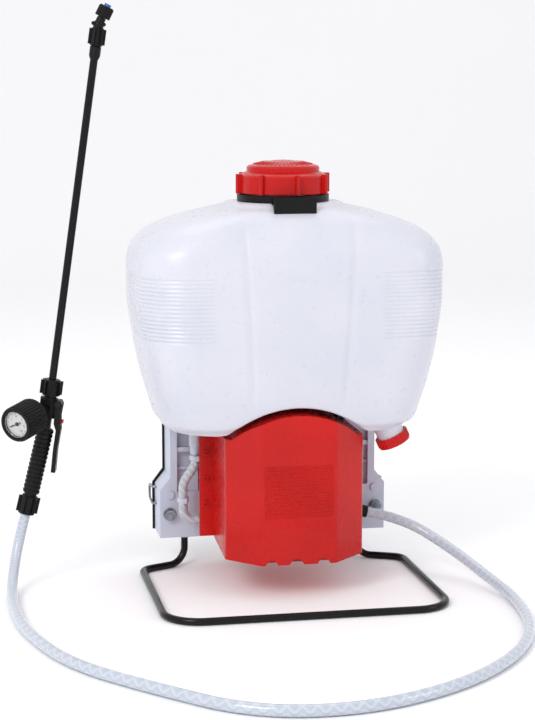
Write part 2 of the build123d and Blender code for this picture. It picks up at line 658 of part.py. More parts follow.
def strap_hooks():
    hooks = []
    for side in (-1, 1):
        inner, out = side * (BRACKET_WIDE - 10), side * (BRACKET_WIDE + 5)
        points = [(inner, 96, HOOK_TOP), (out, 96, HOOK_TOP), (out, 126, HOOK_TOP - 2), (out, 126,
                HOOK_LOW + 2),
                  (out, 96, HOOK_LOW), (inner, 96, HOOK_LOW)]
        hooks.append(pipe(points, 1.6, bends=[4, 6, 6, 4]))
    return Compound(children=hooks)


def shoulder_strap(side):
    """Padded strap that hangs unhooked behind the plate."""
    x = side * STRAP_X
    y = PLATE_BACK + PAD_THICK
    outline = ((PLATE_BACK + 0.5, PLATE_TOP - 63), (PLATE_BACK + 0.5, PLATE_TOP - 60), (y - 8,
            PLATE_TOP - 60),
               (y + 14, PLATE_TOP - 72), (y + 20, 330), (y + 17, 230), (y + 11, 180), (y + 8, 178), (y
                       + 9, 230),
               (y + 8, 330), (y + 4, PLATE_TOP - 78), (y - 10, PLATE_TOP - 63))
    return slab_yz(outline, x - STRAP_WIDE / 2, x + STRAP_WIDE / 2)


def strap_buckles():
    y = PLATE_BACK + PAD_THICK + 9.5
    buckles = []
    for side in (-1, 1):
        frame = block(-20, 20, -1.5, 1.5, 0, 34) - block(-15, 15, -4, 4, 4, 12) - block(-15, 15, -4, 4,
                16, 30)
        tongue = block(-14.5, 14.5, -0.8, 0.8, -60, 3.6)
        buckles.append(Pos(side * STRAP_X, y, 143.8) * frame)
    return Compound(children=buckles)


# ---- wand ---------------------------------------------------------------------------------------
def winged_nut(outer, bore, low, high, wings, reach):
    nut = ring(outer, bore, low, high)
    nut = chamfer(nut.edges().filter_by(GeomType.CIRCLE).group_by(Axis.Z)[-1].sort_by(SortBy.RADIUS)[-1:],
            1.2)
    for i in range(wings):
        wing = block(outer - 1, reach, -1.4, 1.4, low + 1.5, high - 1.5)
        nut += Rot(0, 0, 360 / wings * i + 12) * wing
    return nut


def hose_nut():
    return GRIP * winged_nut(10.2, 3.0, -117.4, -94, 6, 13.4)


def handle_grip():
    """Ribbed rubber sleeve on the handle tube."""
    top, low = -6.5, -6.5 - GRIP_LENGTH
    body = rod(GRIP_R - 1.2, low, top)
    pitch = GRIP_LENGTH / GRIP_RINGS
    for i in range(GRIP_RINGS):
        z = low + (i + 0.5) * pitch
        body += lathe([(0, z - 1.9), (GRIP_R - 0.5, z - 1.9), (GRIP_R, z - 1.3), (GRIP_R, z + 1.3),
                       (GRIP_R - 0.5, z + 1.9), (0, z + 1.9)])
    return GRIP * (body - rod(6.5, low - 1, top + 1))


def handle_tube():
    """Spine inside the grip, from the hose nut to the valve body."""
    return GRIP * (ring(6.5, 3.0, -94, -6.5) + ring(7.6, 3.0, -94, -90.6))


def valve_body():
    low, top = GRIP_START - 4.5, -27
    body = fillet(block(-11.5, 8, -6.3, 6.3, low, top).edges().filter_by(Axis.Z), 3)
    body += rod(7.6, top - 1, -14) + rod(9.6, top - 3, top)
    body += block(6, PIVOT_X, -6.3, 6.3, PIVOT_Z - 4.5, PIVOT_Z + 4.5)
    body += Pos(PIVOT_X, 0, PIVOT_Z) * along_y(rod(4.5, -6.3, 6.3))
    body += WAND.inverse() * (GRIP * rod(8.4, -6.5, 0)) - block(7, 40, -20, 20, -90, low)
    body -= Pos(PIVOT_X, 0, PIVOT_Z) * along_y(rod(2 + 0.02, -8, 8))
    body -= rod(2.4, -40, 0)
    body -= block(5.0, 12, -8, 8, GRIP_START - 7, STEM_Z - 2.5)
    body -= Pos(-6, 0, STEM_Z) * along_x(rod(4.0, 0, 9) + rod(2 + RUNNING, 8, 20))
    body -= plane_along_gauge(rod(4.0, 0, 20))
    return WAND * body


def plane_along_gauge(part):
    return gauge_plane().location * part


def trigger_lever():
    """Channel lever, two cheeks and a web that the fingers pull, with the pin of its catch."""
    cheek = [(PIVOT_X - 4.4, PIVOT_Z + 1), (PIVOT_X - 3, PIVOT_Z + 4), (PIVOT_X + 3, PIVOT_Z + 4),
            (PIVOT_X + 5.5, PIVOT_Z),
             (PIVOT_X + 4.6, -48), (18.6, -66), (17.6, -90), (18.6, -119), (13.4, -119), (12.4,
                     -90), (12.8, -66),
             (9.2, -58), (8.6, -46)]
    face = Plane.XZ * make_face(Polyline(*cheek, close=True))
    body = extrude(face, 9.6, both=True) - extrude(face, 7.0, both=True)
    web = [(14.6, -64), (18.6, -66), (17.6, -90), (18.6, -119), (13.4, -119), (13.0, -90), (13.6, -66)]
    body += extrude(Plane.XZ * make_face(Polyline(*web, close=True)), 9.6, both=True)
    body += block(10.7, 14.5, -7.5, 7.5, STEM_Z - 2, STEM_Z + 2)
    body -= Pos(PIVOT_X, 0, PIVOT_Z) * along_y(rod(2 + RUNNING, -12, 12))
    body -= Pos(LOCK_X, 0, LOCK_Z) * along_y(rod(1.5, -12, 12))
    catch_pin = Pos(LOCK_X, 0, LOCK_Z) * along_y(rod(1.5, -9.6, 9.6))
    return Compound(children=[WAND * body, WAND * catch_pin])


def lever_pin():
    pin = rod(2, -10.6, 10.6) + rod(3.8, -12, -9.9) + rod(3.8, 9.9, 12)
    return WAND * Pos(PIVOT_X, 0, PIVOT_Z) * along_y(pin)


def trigger_lock():
    """Red catch that tips between the cheeks and holds the lever down."""
    shape = [(19.5, -52.6), (20.6, -55.4), (14.6, -61.5), (10.6, -61.6), (9.0, -59), (9.6, -57.0), (12.4,
            -54.9), (15.4, -54.6)]
    body = extrude(Plane.XZ * make_face(Polyline(*shape, close=True)), 5.5, both=True)
    body -= Pos(LOCK_X, 0, LOCK_Z) * along_y(rod(1.5 + RUNNING, -8, 8))
    return WAND * body


def valve_stem():
    return WAND * Pos(0, 0, STEM_Z) * along_x(rod(2, -3.6, 10.3) + rod(3.7, 1.55, 2.9))


def valve_spring():
    helix = Helix(pitch=1.1, height=5.0, radius=3.0)
    wire = sweep((helix ^ 0) * Circle(0.3), path=helix, is_frenet=True)
    return WAND * Pos(-5.2, 0, STEM_Z) * along_x(wire)


def gauge_stem():
    return GAUGE * (rod(3.9, 6.6, 12) + rod(5, 11.5, 20) + extrude(Pos(0, 0, 20) * RegularPolygon(7, 6),
            GAUGE_REACH - GAUGE_DEPTH - 20))


def gauge_boot():
    low, top = GAUGE_REACH - GAUGE_DEPTH, GAUGE_REACH + 3
    body = rod(GAUGE_R - 1.2, low, top)
    ribs = 36
    for i in range(ribs):
        body += Rot(0, 0, 360 / ribs * i) * Pos(GAUGE_R - 1.2, 0, 0) * rod(1.2, low + 2, top - 2)
    body -= rod(GAUGE_R - 4, low + 3, top + 1)
    body -= rod(4.5, low - 1, low + 4)
    return GAUGE * body


def gauge_case():
    low = GAUGE_REACH - GAUGE_DEPTH + 3
    body = rod(GAUGE_R - 4, low, GAUGE_REACH + 2.4) - rod(GAUGE_R - 5.6, low + 4, GAUGE_REACH + 3)
    body += rod(6, low + 3, GAUGE_REACH - 3) - rod(0.9, low + 3, GAUGE_REACH)
    return GAUGE * (body + rod(4.5, low - 3, low + 1))


def gauge_dial():
    return GAUGE * ring(GAUGE_R - 5.7, 0.9, GAUGE_REACH - 3, GAUGE_REACH - 2.2)


def gauge_needle():
    """Pointer on a spindle behind the lens; it rests near the zero mark."""
    body = rod(0.8, GAUGE_REACH - 9, GAUGE_REACH - 0.6) + rod(2.4, GAUGE_REACH - 1.5, GAUGE_REACH - 0.5)
    body += block(-0.6, 0.6, -6, 13, GAUGE_REACH - 1.4, GAUGE_REACH - 0.8)
    return GAUGE * Rot(0, 0, NEEDLE_REST) * body


def gauge_lens():
    return GAUGE * rod(GAUGE_R - 5.65, GAUGE_REACH, GAUGE_REACH + 1.4)


def lance_nut():
    low = -27
    nut = winged_nut(10.6, LANCE_R + RUNNING, low + 3, -4, 8, 13.8)
    return WAND * (nut - rod(7.8, low, -11.2))


def lance_tube():
    tube = ring(LANCE_R, 3.0, -13.9, LANCE_LENGTH) + ring(7.2, 3.0, -13.9, -11.4)
    return WAND * tube


def lance_ferrule():
    part = lathe([(3.0, LANCE_LENGTH), (LANCE_R, LANCE_LENGTH), (LANCE_R, 390), (LANCE_R + 0.6, 390),
            (6.6, 394), (6.8, 395), (6.8, 405),
                  (5.6, 406), (5.6, 412), (4.4, 413), (4.4, 432), (3.0, 432)])
    return WAND * part


def nozzle_nut():
    nut = winged_nut(7.6, 4.45, 406.2, 428, 6, 10.2)
    return WAND * (nut - rod(5.65, 400, 413.05))


def nozzle_elbow():
    part = WAND * (rod(6.2, 428.1, 432) - rod(4.4, 400, 440)) + WAND * (Pos(0, 0, 432) * Sphere(6.2)
            - rod(4.45, 400, 432))
    part += NOZZLE * rod(5.4, 0, 9) + NOZZLE * rod(4.0, 0, 17)
    for side in (-1, 1):
        part += WAND * Pos(side * 6.2, 0, 432.5) * along_y(rod(2.4, -3, 3))
    part -= WAND * (rod(4.45, 400, 432.05) + rod(12, 400, 428.1))
    return part - NOZZLE * rod(1.4, 2, 20)


def nozzle_cap():
    low, top = 9.4, 23.4
    body = rod(8.6, low, top)
    ribs = 24
    for i in range(ribs):
        body += Rot(0, 0, 360 / ribs * i) * Pos(8.6, 0, 0) * rod(0.8, low, top - 1.5)
    body -= rod(5.4 + LOOSE, low - 1, low)
    body -= rod(4.0 + RUNNING, low - 1, 17.2)
    body -= rod(2.6, 16, top + 1)
    return NOZZLE * body


def nozzle_insert():
    return NOZZLE * (ring(2.6, 0.6, 18, 26) + ring(4.2, 0.6, top_of_cap(), 26.4))


def top_of_cap():
    return 23.4


def delivery_hose():
    radii = corner_radii(HOSE_POINTS)
    path = FilletPolyline(*HOSE_POINTS, radius=radii)
    return sweep(Plane(origin=path @ 0, z_dir=path % 0) * Circle(HOSE_D / 2), path=path)


NODES = {
    "tank": tank, "neck_collar": neck_collar, "strainer_basket": strainer_basket, "cap_gasket": cap_gasket,
    "filler_cap": filler_cap, "cap_vent": cap_vent, "drain_gasket": drain_gasket, "drain_cap": drain_cap,
    "tank_outlet_fitting": tank_outlet, "suction_hose": suction_hose, "hose_clips": hose_clips,
    "pump_inlet_elbow": pump_inlet, "front_housing": front_housing, "rear_housing": rear_housing,
    "housing_screws": housing_screws, "battery": battery, "battery_terminals": battery_terminals,
    "pump_motor": pump_motor, "motor_rotor": motor_rotor, "pump_head": pump_head,
    "pressure_switch": pressure_switch, "switch_frame": switch_frame, "power_switch": power_switch,
    "charge_socket": charge_socket, "wiring_harness": wiring_harness, "pressure_hose": pressure_hose,
    "outlet_gland": outlet_gland, "back_plate": back_plate, "back_pad": back_pad, "stand_rod": stand_rod,
    "bracket_bolts": bracket_bolts, "strap_hooks": strap_hooks, "strap_buckles": strap_buckles,
    "delivery_hose": delivery_hose, "hose_nut": hose_nut, "handle_grip": handle_grip,
    "handle_tube": handle_tube, "valve_body": valve_body, "trigger_lever": trigger_lever, "lever_pin": lever_pin,
    "trigger_lock": trigger_lock, "valve_stem": valve_stem, "valve_spring": valve_spring,
    "gauge_stem": gauge_stem, "gauge_boot": gauge_boot, "gauge_case": gauge_case, "gauge_dial": gauge_dial,
    "gauge_needle": gauge_needle, "gauge_lens": gauge_lens, "lance_nut": lance_nut, "lance_tube": lance_tube,
    "lance_ferrule": lance_ferrule, "nozzle_nut": nozzle_nut, "nozzle_elbow": nozzle_elbow,
    "nozzle_cap": nozzle_cap, "nozzle_insert": nozzle_insert,
}

os.makedirs("parts", exist_ok=True)
for name, build in NODES.items():
    save(name, build())
for name, side in (("left", -1), ("right", 1)):
    save(f"{name}_bracket", bracket(side))
    save(f"{name}_shoulder_strap", shoulder_strap(side))
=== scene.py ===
"""Looks of the backpack sprayer: finishes, sculpted shells, soft goods, the free hose and the studio."""

import logging
import math
from dataclasses import dataclass, field
from enum import Enum
from typing import Callable, Iterable, Optional, Sequence

import bpy
from mathutils import Matrix, Vector


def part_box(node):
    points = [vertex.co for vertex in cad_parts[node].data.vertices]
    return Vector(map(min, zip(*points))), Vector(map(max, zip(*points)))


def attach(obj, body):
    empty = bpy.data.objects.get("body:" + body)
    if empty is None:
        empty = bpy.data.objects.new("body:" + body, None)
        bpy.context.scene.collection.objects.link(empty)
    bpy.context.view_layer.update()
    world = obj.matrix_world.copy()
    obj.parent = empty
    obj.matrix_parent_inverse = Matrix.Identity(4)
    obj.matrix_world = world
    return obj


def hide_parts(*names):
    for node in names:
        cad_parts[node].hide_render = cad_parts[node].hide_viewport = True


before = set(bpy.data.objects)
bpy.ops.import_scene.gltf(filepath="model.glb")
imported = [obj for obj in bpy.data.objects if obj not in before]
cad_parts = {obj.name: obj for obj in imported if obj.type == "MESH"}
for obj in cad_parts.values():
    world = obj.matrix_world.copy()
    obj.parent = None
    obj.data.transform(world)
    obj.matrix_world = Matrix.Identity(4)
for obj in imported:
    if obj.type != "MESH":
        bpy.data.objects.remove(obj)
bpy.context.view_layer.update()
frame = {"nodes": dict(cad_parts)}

MM = 0.001
ONE_BAND = 0.314          # scale at which the wave texture gives one band to a metre
GLOSS_PATCH_MM = 9.0      # patches of slightly different gloss
BEVEL_SAMPLES = 4
LOG = logging.getLogger("sprayer")
Point = tuple[float, float, float]
Socket = bpy.types.NodeSocket
Piece = bpy.types.Object


# ---- small tools --------------------------------------------------------------------------------
def linear(code: str, alpha: float = 1.0) -> tuple[float, float, float, float]:
    """Turns an sRGB hex colour into linear light.

    Args:
        code: six hex digits.
        alpha: fourth value of the result.

    Returns:
        Red, green, blue and alpha.
    """
    values = [int(code[i:i + 2], 16) / 255 for i in (0, 2, 4)]
    light = [v / 12.92 if v <= 0.04045 else ((v + 0.055) / 1.055) ** 2.4 for v in values]
    return (light[0], light[1], light[2], alpha)


def add(tree: bpy.types.NodeTree, kind: str, values: Optional[dict] = None,
        links: Optional[dict] = None, **settings: object) -> bpy.types.Node:
    """Adds a node with its settings, socket values and incoming links.

    Args:
        tree: node tree that gets the node.
        kind: node type without its common prefix.
        values: socket name or number to constant.
        links: socket name or number to the output that feeds it.
        settings: properties of the node itself.

    Returns:
        The new node.
    """
    node = tree.nodes.new("ShaderNode" + kind)
    for name, value in settings.items():
        setattr(node, name, value)
    for socket, value in (values or {}).items():
        node.inputs[socket].default_value = value
    for socket, source in (links or {}).items():
        tree.links.new(source, node.inputs[socket])
    return node


def only(piece: Optional[Piece] = None) -> None:
    """Leaves one piece selected and active, or nothing at all.

    Args:
        piece: the piece to select, or None.
    """
    if bpy.context.object and bpy.context.object.mode != "OBJECT":
        bpy.ops.object.mode_set(mode="OBJECT")
    bpy.ops.object.select_all(action="DESELECT")
    if piece is not None:
        piece.select_set(True)
        bpy.context.view_layer.objects.active = piece


def apply_modifier(piece: Piece, kind: str, **settings: object) -> None:
    """Adds a modifier with its settings and applies it.

    Args:
        piece: the piece that it changes.
        kind: type of the modifier.
        settings: properties of the modifier.
    """
    only(piece)
    modifier = piece.modifiers.new(kind.title(), kind)
    for key, value in settings.items():
        setattr(modifier, key, value)
    bpy.ops.object.modifier_apply(modifier=modifier.name)


def tidy_mesh(piece: Piece, smooth_degrees: float = 35.0) -> None:
    """Merges doubles, turns the faces outward and smooths them below an angle.

    Args:
        piece: the piece to tidy.
        smooth_degrees: faces that meet at less than this look smooth.
    """
    only(piece)
    bpy.ops.object.mode_set(mode="EDIT")
    bpy.ops.mesh.select_all(action="SELECT")
    bpy.ops.mesh.remove_doubles(threshold=0.5e-6)
    bpy.ops.mesh.normals_make_consistent(inside=False)
    bpy.ops.object.mode_set(mode="OBJECT")
    bpy.ops.object.shade_smooth_by_angle(angle=math.radians(smooth_degrees))


def wrapped(name: str, columns: int, rows: int, place: Callable[[int, int], Point],
            smooth_degrees: float = 35.0) -> Piece:
    """Closed skin from a grid whose two sides meet.

    Args:
        name: name of the piece.
        columns: faces round the piece.
        rows: faces along it.
        place: gives the point of a column and row.
        smooth_degrees: faces that meet at less than this look smooth.

    Returns:
        The new piece.
    """
    only()
    bpy.ops.mesh.primitive_grid_add(x_subdivisions=columns, y_subdivisions=rows, size=1.0)
    piece = bpy.context.object
    piece.name = name
    for vertex in piece.data.vertices:
        column = round((vertex.co.x + 0.5) * columns) % columns
        vertex.co = place(column, round((vertex.co.y + 0.5) * rows))
    tidy_mesh(piece, smooth_degrees)
    return piece


def turned(name: str, columns: int, profile: Sequence[tuple[float, float]], place: Matrix) -> Piece:
    """Ring turned about its own z axis.

    Args:
        name: name of the piece.
        columns: faces round the ring.
        profile: closed outline of radius and height pairs.
        place: frame that the ring stands in.

    Returns:
        The new piece.
    """

    def point(column: int, row: int) -> Point:
        """Point of the ring at a column and a corner of the outline."""
        angle = 2 * math.pi * column / columns
        radius, along = profile[row]
        return tuple(place @ Vector((radius * math.cos(angle), radius * math.sin(angle), along)))

    return wrapped(name, columns, len(profile) - 1, point)


def joined(name: str, parts: Sequence[Piece]) -> Piece:
    """Joins pieces into one.

    Args:
        name: name of the joined piece.
        parts: the pieces to join.

    Returns:
        The joined piece.
    """
    only(parts[0])
    for part in parts:
        part.select_set(True)
    bpy.ops.object.join()
    piece = bpy.context.object
    piece.name = name
    return piece


def copies(name: str, source: Piece, places: Iterable[Matrix]) -> Piece:
    """Joins copies of one small piece, each with its own mesh, and removes the first.

    Args:
        name: name of the joined piece.
        source: the piece that repeats, modelled at the origin.
        places: where each copy goes.

    Returns:
        The joined piece.
    """
    parts = []
    for place in places:
        mesh = source.data.copy()
        mesh.transform(place)
        part = bpy.data.objects.new(name, mesh)
        bpy.context.scene.collection.objects.link(part)
        parts.append(part)
    bpy.data.objects.remove(source)
    piece = joined(name, parts)
    bpy.ops.object.shade_smooth_by_angle(angle=math.radians(35))
    return piece


def bar(size: Sequence[float], edge: float) -> Piece:
    """Small bar with rounded edges, at the origin, that other pieces repeat.

    Args:
        size: length, width and height.
        edge: how far its edges are cut back.

    Returns:
        The bar.
    """
    only()
    bpy.ops.mesh.primitive_cube_add(size=1.0)
    bpy.ops.object.mode_set(mode="EDIT")
    bpy.ops.mesh.select_all(action="SELECT")
    bpy.ops.transform.resize(value=tuple(size))
    bpy.ops.mesh.bevel(offset=edge, segments=1, affect="EDGES")
    bpy.ops.object.mode_set(mode="OBJECT")
    return bpy.context.object


def curve_through(values: Sequence[Sequence[float]], at: float) -> list[float]:
    """Smooth values between knots that never swing past them.

    Args:
        values: rows that start with the knot's place, in rising order.
        at: place to read.

    Returns:
        The other numbers of a row, read at that place.
    """
    at = min(max(at, values[0][0]), values[-1][0])
    i = next(k for k in range(len(values) - 1) if at <= values[k + 1][0])

    def slope(k: int, column: int) -> float:
        """Slope at a knot, level where the values turn back.

        Args:
            k: number of the knot.
            column: which value of the row.

        Returns:
            The slope.
        """
        if k in (0, len(values) - 1):
            return 0.0
        before = (values[k][column] - values[k - 1][column]) / (values[k][0] - values[k - 1][0])
        after = (values[k + 1][column] - values[k][column]) / (values[k + 1][0] - values[k][0])
        return 0.0 if before * after <= 0 else 2 * before * after / (before + after)

    span = values[i + 1][0] - values[i][0]
    t = (at - values[i][0]) / span
    start, end = (1 + 2 * t) * (1 - t) ** 2, t * t * (3 - 2 * t)
    out, into = t * (1 - t) ** 2 * span, t * t * (t - 1) * span
    return [start * values[i][c] + end * values[i + 1][c] + out * slope(i, c) + into * slope(i + 1, c)
            for c in range(1, len(values[0]))]


def window(value: float, low: float, high: float, soft: float) -> float:
    """Rises from 0 to 1 inside a low and high limit.

    Args:
        value: place to read.
        low: where the rise starts.
        high: where the fall ends.
        soft: width of the rise and of the fall.

    Returns:
        A share from 0 to 1.
    """
    rise = min(max((value - low) / soft, 0.0), 1.0)
    fall = min(max((high - value) / soft, 0.0), 1.0)
    return min(rise, fall) ** 2 * (3 - 2 * min(rise, fall))


# ---- finishes -----------------------------------------------------------------------------------
@dataclass(frozen=True)
class Finish:
    """A moulded, cast or coated surface, with its grain, colour drift and rounded edges, which are painted
    paler: partly a painted edge highlight, partly wear.

    Sizes are millimetres; colours are sRGB hex.
    """

    name: str
    colour: str
    second_tone: str
    roughness: tuple[float, float]
    grain_mm: float
    relief_mm: float
    # Colour painted on the rounded edges, and its share: partly a painted edge highlight, partly wear.
    edge_highlight_and_wear_colour: str
    edge_highlight_and_wear_share: float = 0.25
    edge_mm: float = 0.7
    drift_mm: float = 45.0
    extra: tuple[tuple[str, object], ...] = ()

    def pattern(self, tree: bpy.types.NodeTree, place: Socket) -> Socket:
        """Height of the surface grain, from a noise of the grain's size."""
        return add(tree, "TexNoise", {"Scale": 1 / (self.grain_mm * MM), "Detail": 2.0},
                   {"Vector": place}).outputs[0]

    def tint(self, tree: bpy.types.NodeTree, place: Socket, height: Socket) -> Socket:
        """Colour that drifts slowly between two shades, as regrind and handling leave it.

        Args:
            tree: node tree of the material.
            place: coordinates that the drift follows.
            height: height of the grain, which some finishes colour by; not used here.

        Returns:
            The colour.
        """
        slow = add(tree, "TexNoise", {"Scale": 1 / (self.drift_mm * MM), "Detail": 3.0}, {"Vector": place})
        spread = add(tree, "MapRange", {"From Min": 0.35, "From Max": 0.65}, {"Value": slow.outputs[0]})
        mix = add(tree, "Mix", {6: linear(self.colour), 7: linear(self.second_tone)}, {0: spread.outputs[0]},
                  data_type="RGBA")
        return mix.outputs[2]

    def place(self, tree: bpy.types.NodeTree) -> Socket:
        """Coordinates that the pattern follows: the piece's own space."""
        return add(tree, "TexCoord").outputs["Object"]

    def make(self) -> bpy.types.Material:
        """Builds the material.

        Returns:
            The material, ready for a slot.
        """
        material = bpy.data.materials.new(self.name)
        material.use_nodes = True
        tree = material.node_tree
        tree.nodes.clear()
        place = self.place(tree)
        height = self.pattern(tree, place)
        surface = add(tree, "NewGeometry")
        normal = surface.outputs["Normal"]
        if self.edge_mm:
            normal = add(tree, "Bevel", {"Radius": self.edge_mm * MM},
                         samples=BEVEL_SAMPLES).outputs[0]
        bend = add(tree, "VectorMath", None, {0: normal, 1: surface.outputs["Normal"]},
                   operation="DOT_PRODUCT")
        # Edges found from the bevel are painted towards the edge colour: partly a painted edge highlight,
        # partly wear.
        edge = add(tree, "MapRange", {"From Min": 0.985, "From Max": 0.80, "To Max": self.edge_highlight_and_wear_share},
                   {"Value": bend.outputs["Value"]})
        colour = add(tree, "Mix", {7: linear(self.edge_highlight_and_wear_colour)},
                     {0: edge.outputs[0], 6: self.tint(tree, place, height)}, data_type="RGBA")
        gloss = add(tree, "TexNoise", {"Scale": 1 / (GLOSS_PATCH_MM * MM), "Detail": 4.0}, {"Vector": place})
        rough = add(tree, "MapRange", {"From Min": 0.3, "From Max": 0.7, "To Min": self.roughness[0],
                                       "To Max": self.roughness[1]}, {"Value": gloss.outputs[0]})
        bump = add(tree, "Bump", {"Strength": 1.0, "Distance": self.relief_mm * MM},
                   {"Height": height, "Normal": normal})
        shader = add(tree, "BsdfPrincipled", dict(self.extra),
                     {"Base Color": colour.outputs[2], "Roughness": rough.outputs[0],
                      "Normal": bump.outputs[0]})
        add(tree, "OutputMaterial", None, {"Surface": shader.outputs[0]})
        return material


@dataclass(frozen=True)
class Woven(Finish):
    """Woven nylon: two crossing rib patterns a thread apart; grain_mm is the thread spacing."""

    axes: tuple[str, str] = ("X", "Z")

    def pattern(self, tree: bpy.types.NodeTree, place: Socket) -> Socket:
        """Height of warp over weft, with the threads drawn coarse enough to show."""
        ribs = [add(tree, "TexWave", {"Scale": ONE_BAND / (self.grain_mm * MM) / 2, "Distortion": 0.4},
                    {"Vector": place}, wave_type="BANDS", bands_direction=axis).outputs[1]
                for axis in self.axes]
        return add(tree, "Math", None, {0: ribs[0], 1: ribs[1]}, operation="MAXIMUM").outputs[0]

    def tint(self, tree: bpy.types.NodeTree, place: Socket, height: Socket) -> Socket:
        """Painted light and shade: thread crowns are painted in the lighter colour as a highlight, the gaps
        between them in the darker second tone as shade.
        """
        # The darker second tone is painted shade between the threads; the lighter colour is a painted
        # highlight on their crowns.
        return add(tree, "Mix", {6: linear(self.second_tone), 7: linear(self.colour)}, {0: height},
                   data_type="RGBA").outputs[2]


@dataclass(frozen=True)
class Braided(Finish):
    """Clear hose with a braid inside its wall: two crossing spirals; grain_mm is their pitch."""

    length_mm: float = 1.0
    turns: int = 0

    def place(self, tree: bpy.types.NodeTree) -> Socket:
        """The hose's own map where it has one, with its length in U and its girth in V."""
        return add(tree, "TexCoord").outputs["UV" if self.turns else "Object"]

    def pattern(self, tree: bpy.types.NodeTree, place: Socket) -> Socket:
        """Strands that cross in diamonds.

        Args:
            tree: node tree of the material.
            place: coordinates that the braid follows.

        Returns:
            Height of the strands.
        """
        strands = []
        along = self.length_mm / self.grain_mm if self.turns else 1 / (self.grain_mm * MM)
        around = float(self.turns) if self.turns else along
        for way in (-1.0, 1.0):
            lay = add(tree, "Mapping", {"Scale": (along, way * around, along)}, {"Vector": place})
            wave = add(tree, "TexWave", {"Scale": ONE_BAND}, {"Vector": lay.outputs[0]}, wave_type="BANDS",
                       bands_direction="DIAGONAL")
            strand = add(tree, "MapRange", {"From Min": 0.72, "From Max": 0.95}, {"Value": wave.outputs[1]})
            strands.append(strand.outputs[0])
        return add(tree, "Math", None, {0: strands[0], 1: strands[1]}, operation="MAXIMUM").outputs[0]

    def tint(self, tree: bpy.types.NodeTree, place: Socket, height: Socket) -> Socket:
        """White yarn over the cool grey of the clear wall."""
        return add(tree, "Mix", {6: linear(self.second_tone), 7: linear(self.colour)}, {0: height},
                   data_type="RGBA").outputs[2]


@dataclass(frozen=True)
class Brushed(Finish):
    """Bare or plated metal: fine drawn lines along one axis; grain_mm is the line spacing."""

    stretch: tuple[float, float, float] = (1.0, 1.0, 0.06)

    def pattern(self, tree: bpy.types.NodeTree, place: Socket) -> Socket:
        """Lines drawn out along the piece."""
        lay = add(tree, "Mapping", {"Scale": self.stretch}, {"Vector": place})
        return add(tree, "TexNoise", {"Scale": 1 / (self.grain_mm * MM), "Detail": 3.0},
                   {"Vector": lay.outputs[0]}).outputs[0]


HOSE_LENGTH_MM = 1516.3

# In each finish the seventh value is the colour painted on its rounded edges and the eighth is its share:
# partly a painted edge highlight, partly wear.
# Blow-moulded natural polyethylene: milky, light sinks a few millimetres in, satin skin, soft highlights.
POLYETHYLENE = Finish("natural_polyethylene_blow_moulded", "D3D4DD", "CDCFD9", (0.26, 0.36), 5.0, 0.03,
                      "F0F0F4", 0.0, 0.0, 90.0,
                      (("IOR", 1.51), ("Subsurface Weight", 0.25), ("Subsurface Scale", 0.006),
                       ("Subsurface Radius", (1.0, 0.98, 0.95))))
# Gloss ABS: deep even red with sharp reflections, a faint orange-peel and paler corners, partly a painted
# edge highlight and partly wear.
RED_ABS = Finish("red_abs_gloss_moulded", "C2140F", "B8110D", (0.24, 0.32), 2.2, 0.008, "D02A22", 0.05, 0.6,
                 90.0,
                 (("IOR", 1.53), ("Specular IOR Level", 0.18), ("Coat Weight", 0.12),
                  ("Coat Roughness", 0.06)))
# Glass-filled nylon: dull black with a fine spark-eroded texture and greyer corners, partly a painted edge
# highlight and partly wear.
BLACK_NYLON = Finish("black_nylon_spark_textured", "09090A", "0D0D0E", (0.34, 0.46), 0.7, 0.04, "242526",
                     0.35, 0.4, 45.0, (("Specular IOR Level", 0.22),))
# Filament-wound lance tube: smoother and shinier black than the moulded parts.
LANCE_TUBE = Brushed("black_fibre_tube_drawn", "09090A", "0E0E0F", (0.24, 0.32), 0.5, 0.01, "1E1F20", 0.3,
                     0.4, 45.0, (("Specular IOR Level", 0.22),))
# Polypropylene: chalky off-white, slightly waxy, with soft flow marks.
WHITE_PP = Finish("white_polypropylene_moulded", "C6CBDA", "BFC5D4", (0.40, 0.52), 1.2, 0.04, "DADDE8", 0.3,
                  0.7, 35.0, (("IOR", 1.49), ("Subsurface Weight", 0.12), ("Subsurface Scale", 0.003)))
# Polyester powder coat on steel: half-gloss black with the shallow ripple of melted powder.
POWDER_COAT = Finish("black_powder_coated_steel", "080809", "0B0B0C", (0.20, 0.28), 1.6, 0.02, "1A1A1B", 0.3,
                     0.5, 60.0,
                     (("Specular IOR Level", 0.2), ("Coat Weight", 0.12), ("Coat Roughness", 0.12)))
# Bright zinc plate: bluish silver, clouded by passivation.
ZINC = Brushed("zinc_plated_steel_turned", "A2A7AE", "7C828A", (0.24, 0.42), 0.6, 0.02, "E4E6E8", 0.4, 0.3,
               6.0, (("Metallic", 1.0),))
# Turned brass: warm yellow metal with lathe lines and patches of a darker yellow.
BRASS = Brushed("brass_turned", "D0A85A", "B08A42", (0.22, 0.38), 0.5, 0.02, "E8CC8C", 0.4, 0.3, 6.0,
                (("Metallic", 1.0),))
# Drawn motor can: grey nickel plate with lines along the can.
MOTOR_CAN = Brushed("nickel_plated_motor_can", "A9ABAD", "8F9193", (0.28, 0.40), 0.6, 0.02, "D0D2D3", 0.4,
                    0.5, 14.0, (("Metallic", 1.0),))
# Nitrile and EPDM rubber: matt near-black with a dusty bloom.
RUBBER = Finish("black_rubber_moulded", "0B0B0A", "10100F", (0.42, 0.56), 0.5, 0.05, "262625", 0.35, 0.3,
                45.0, (("Specular IOR Level", 0.22),))
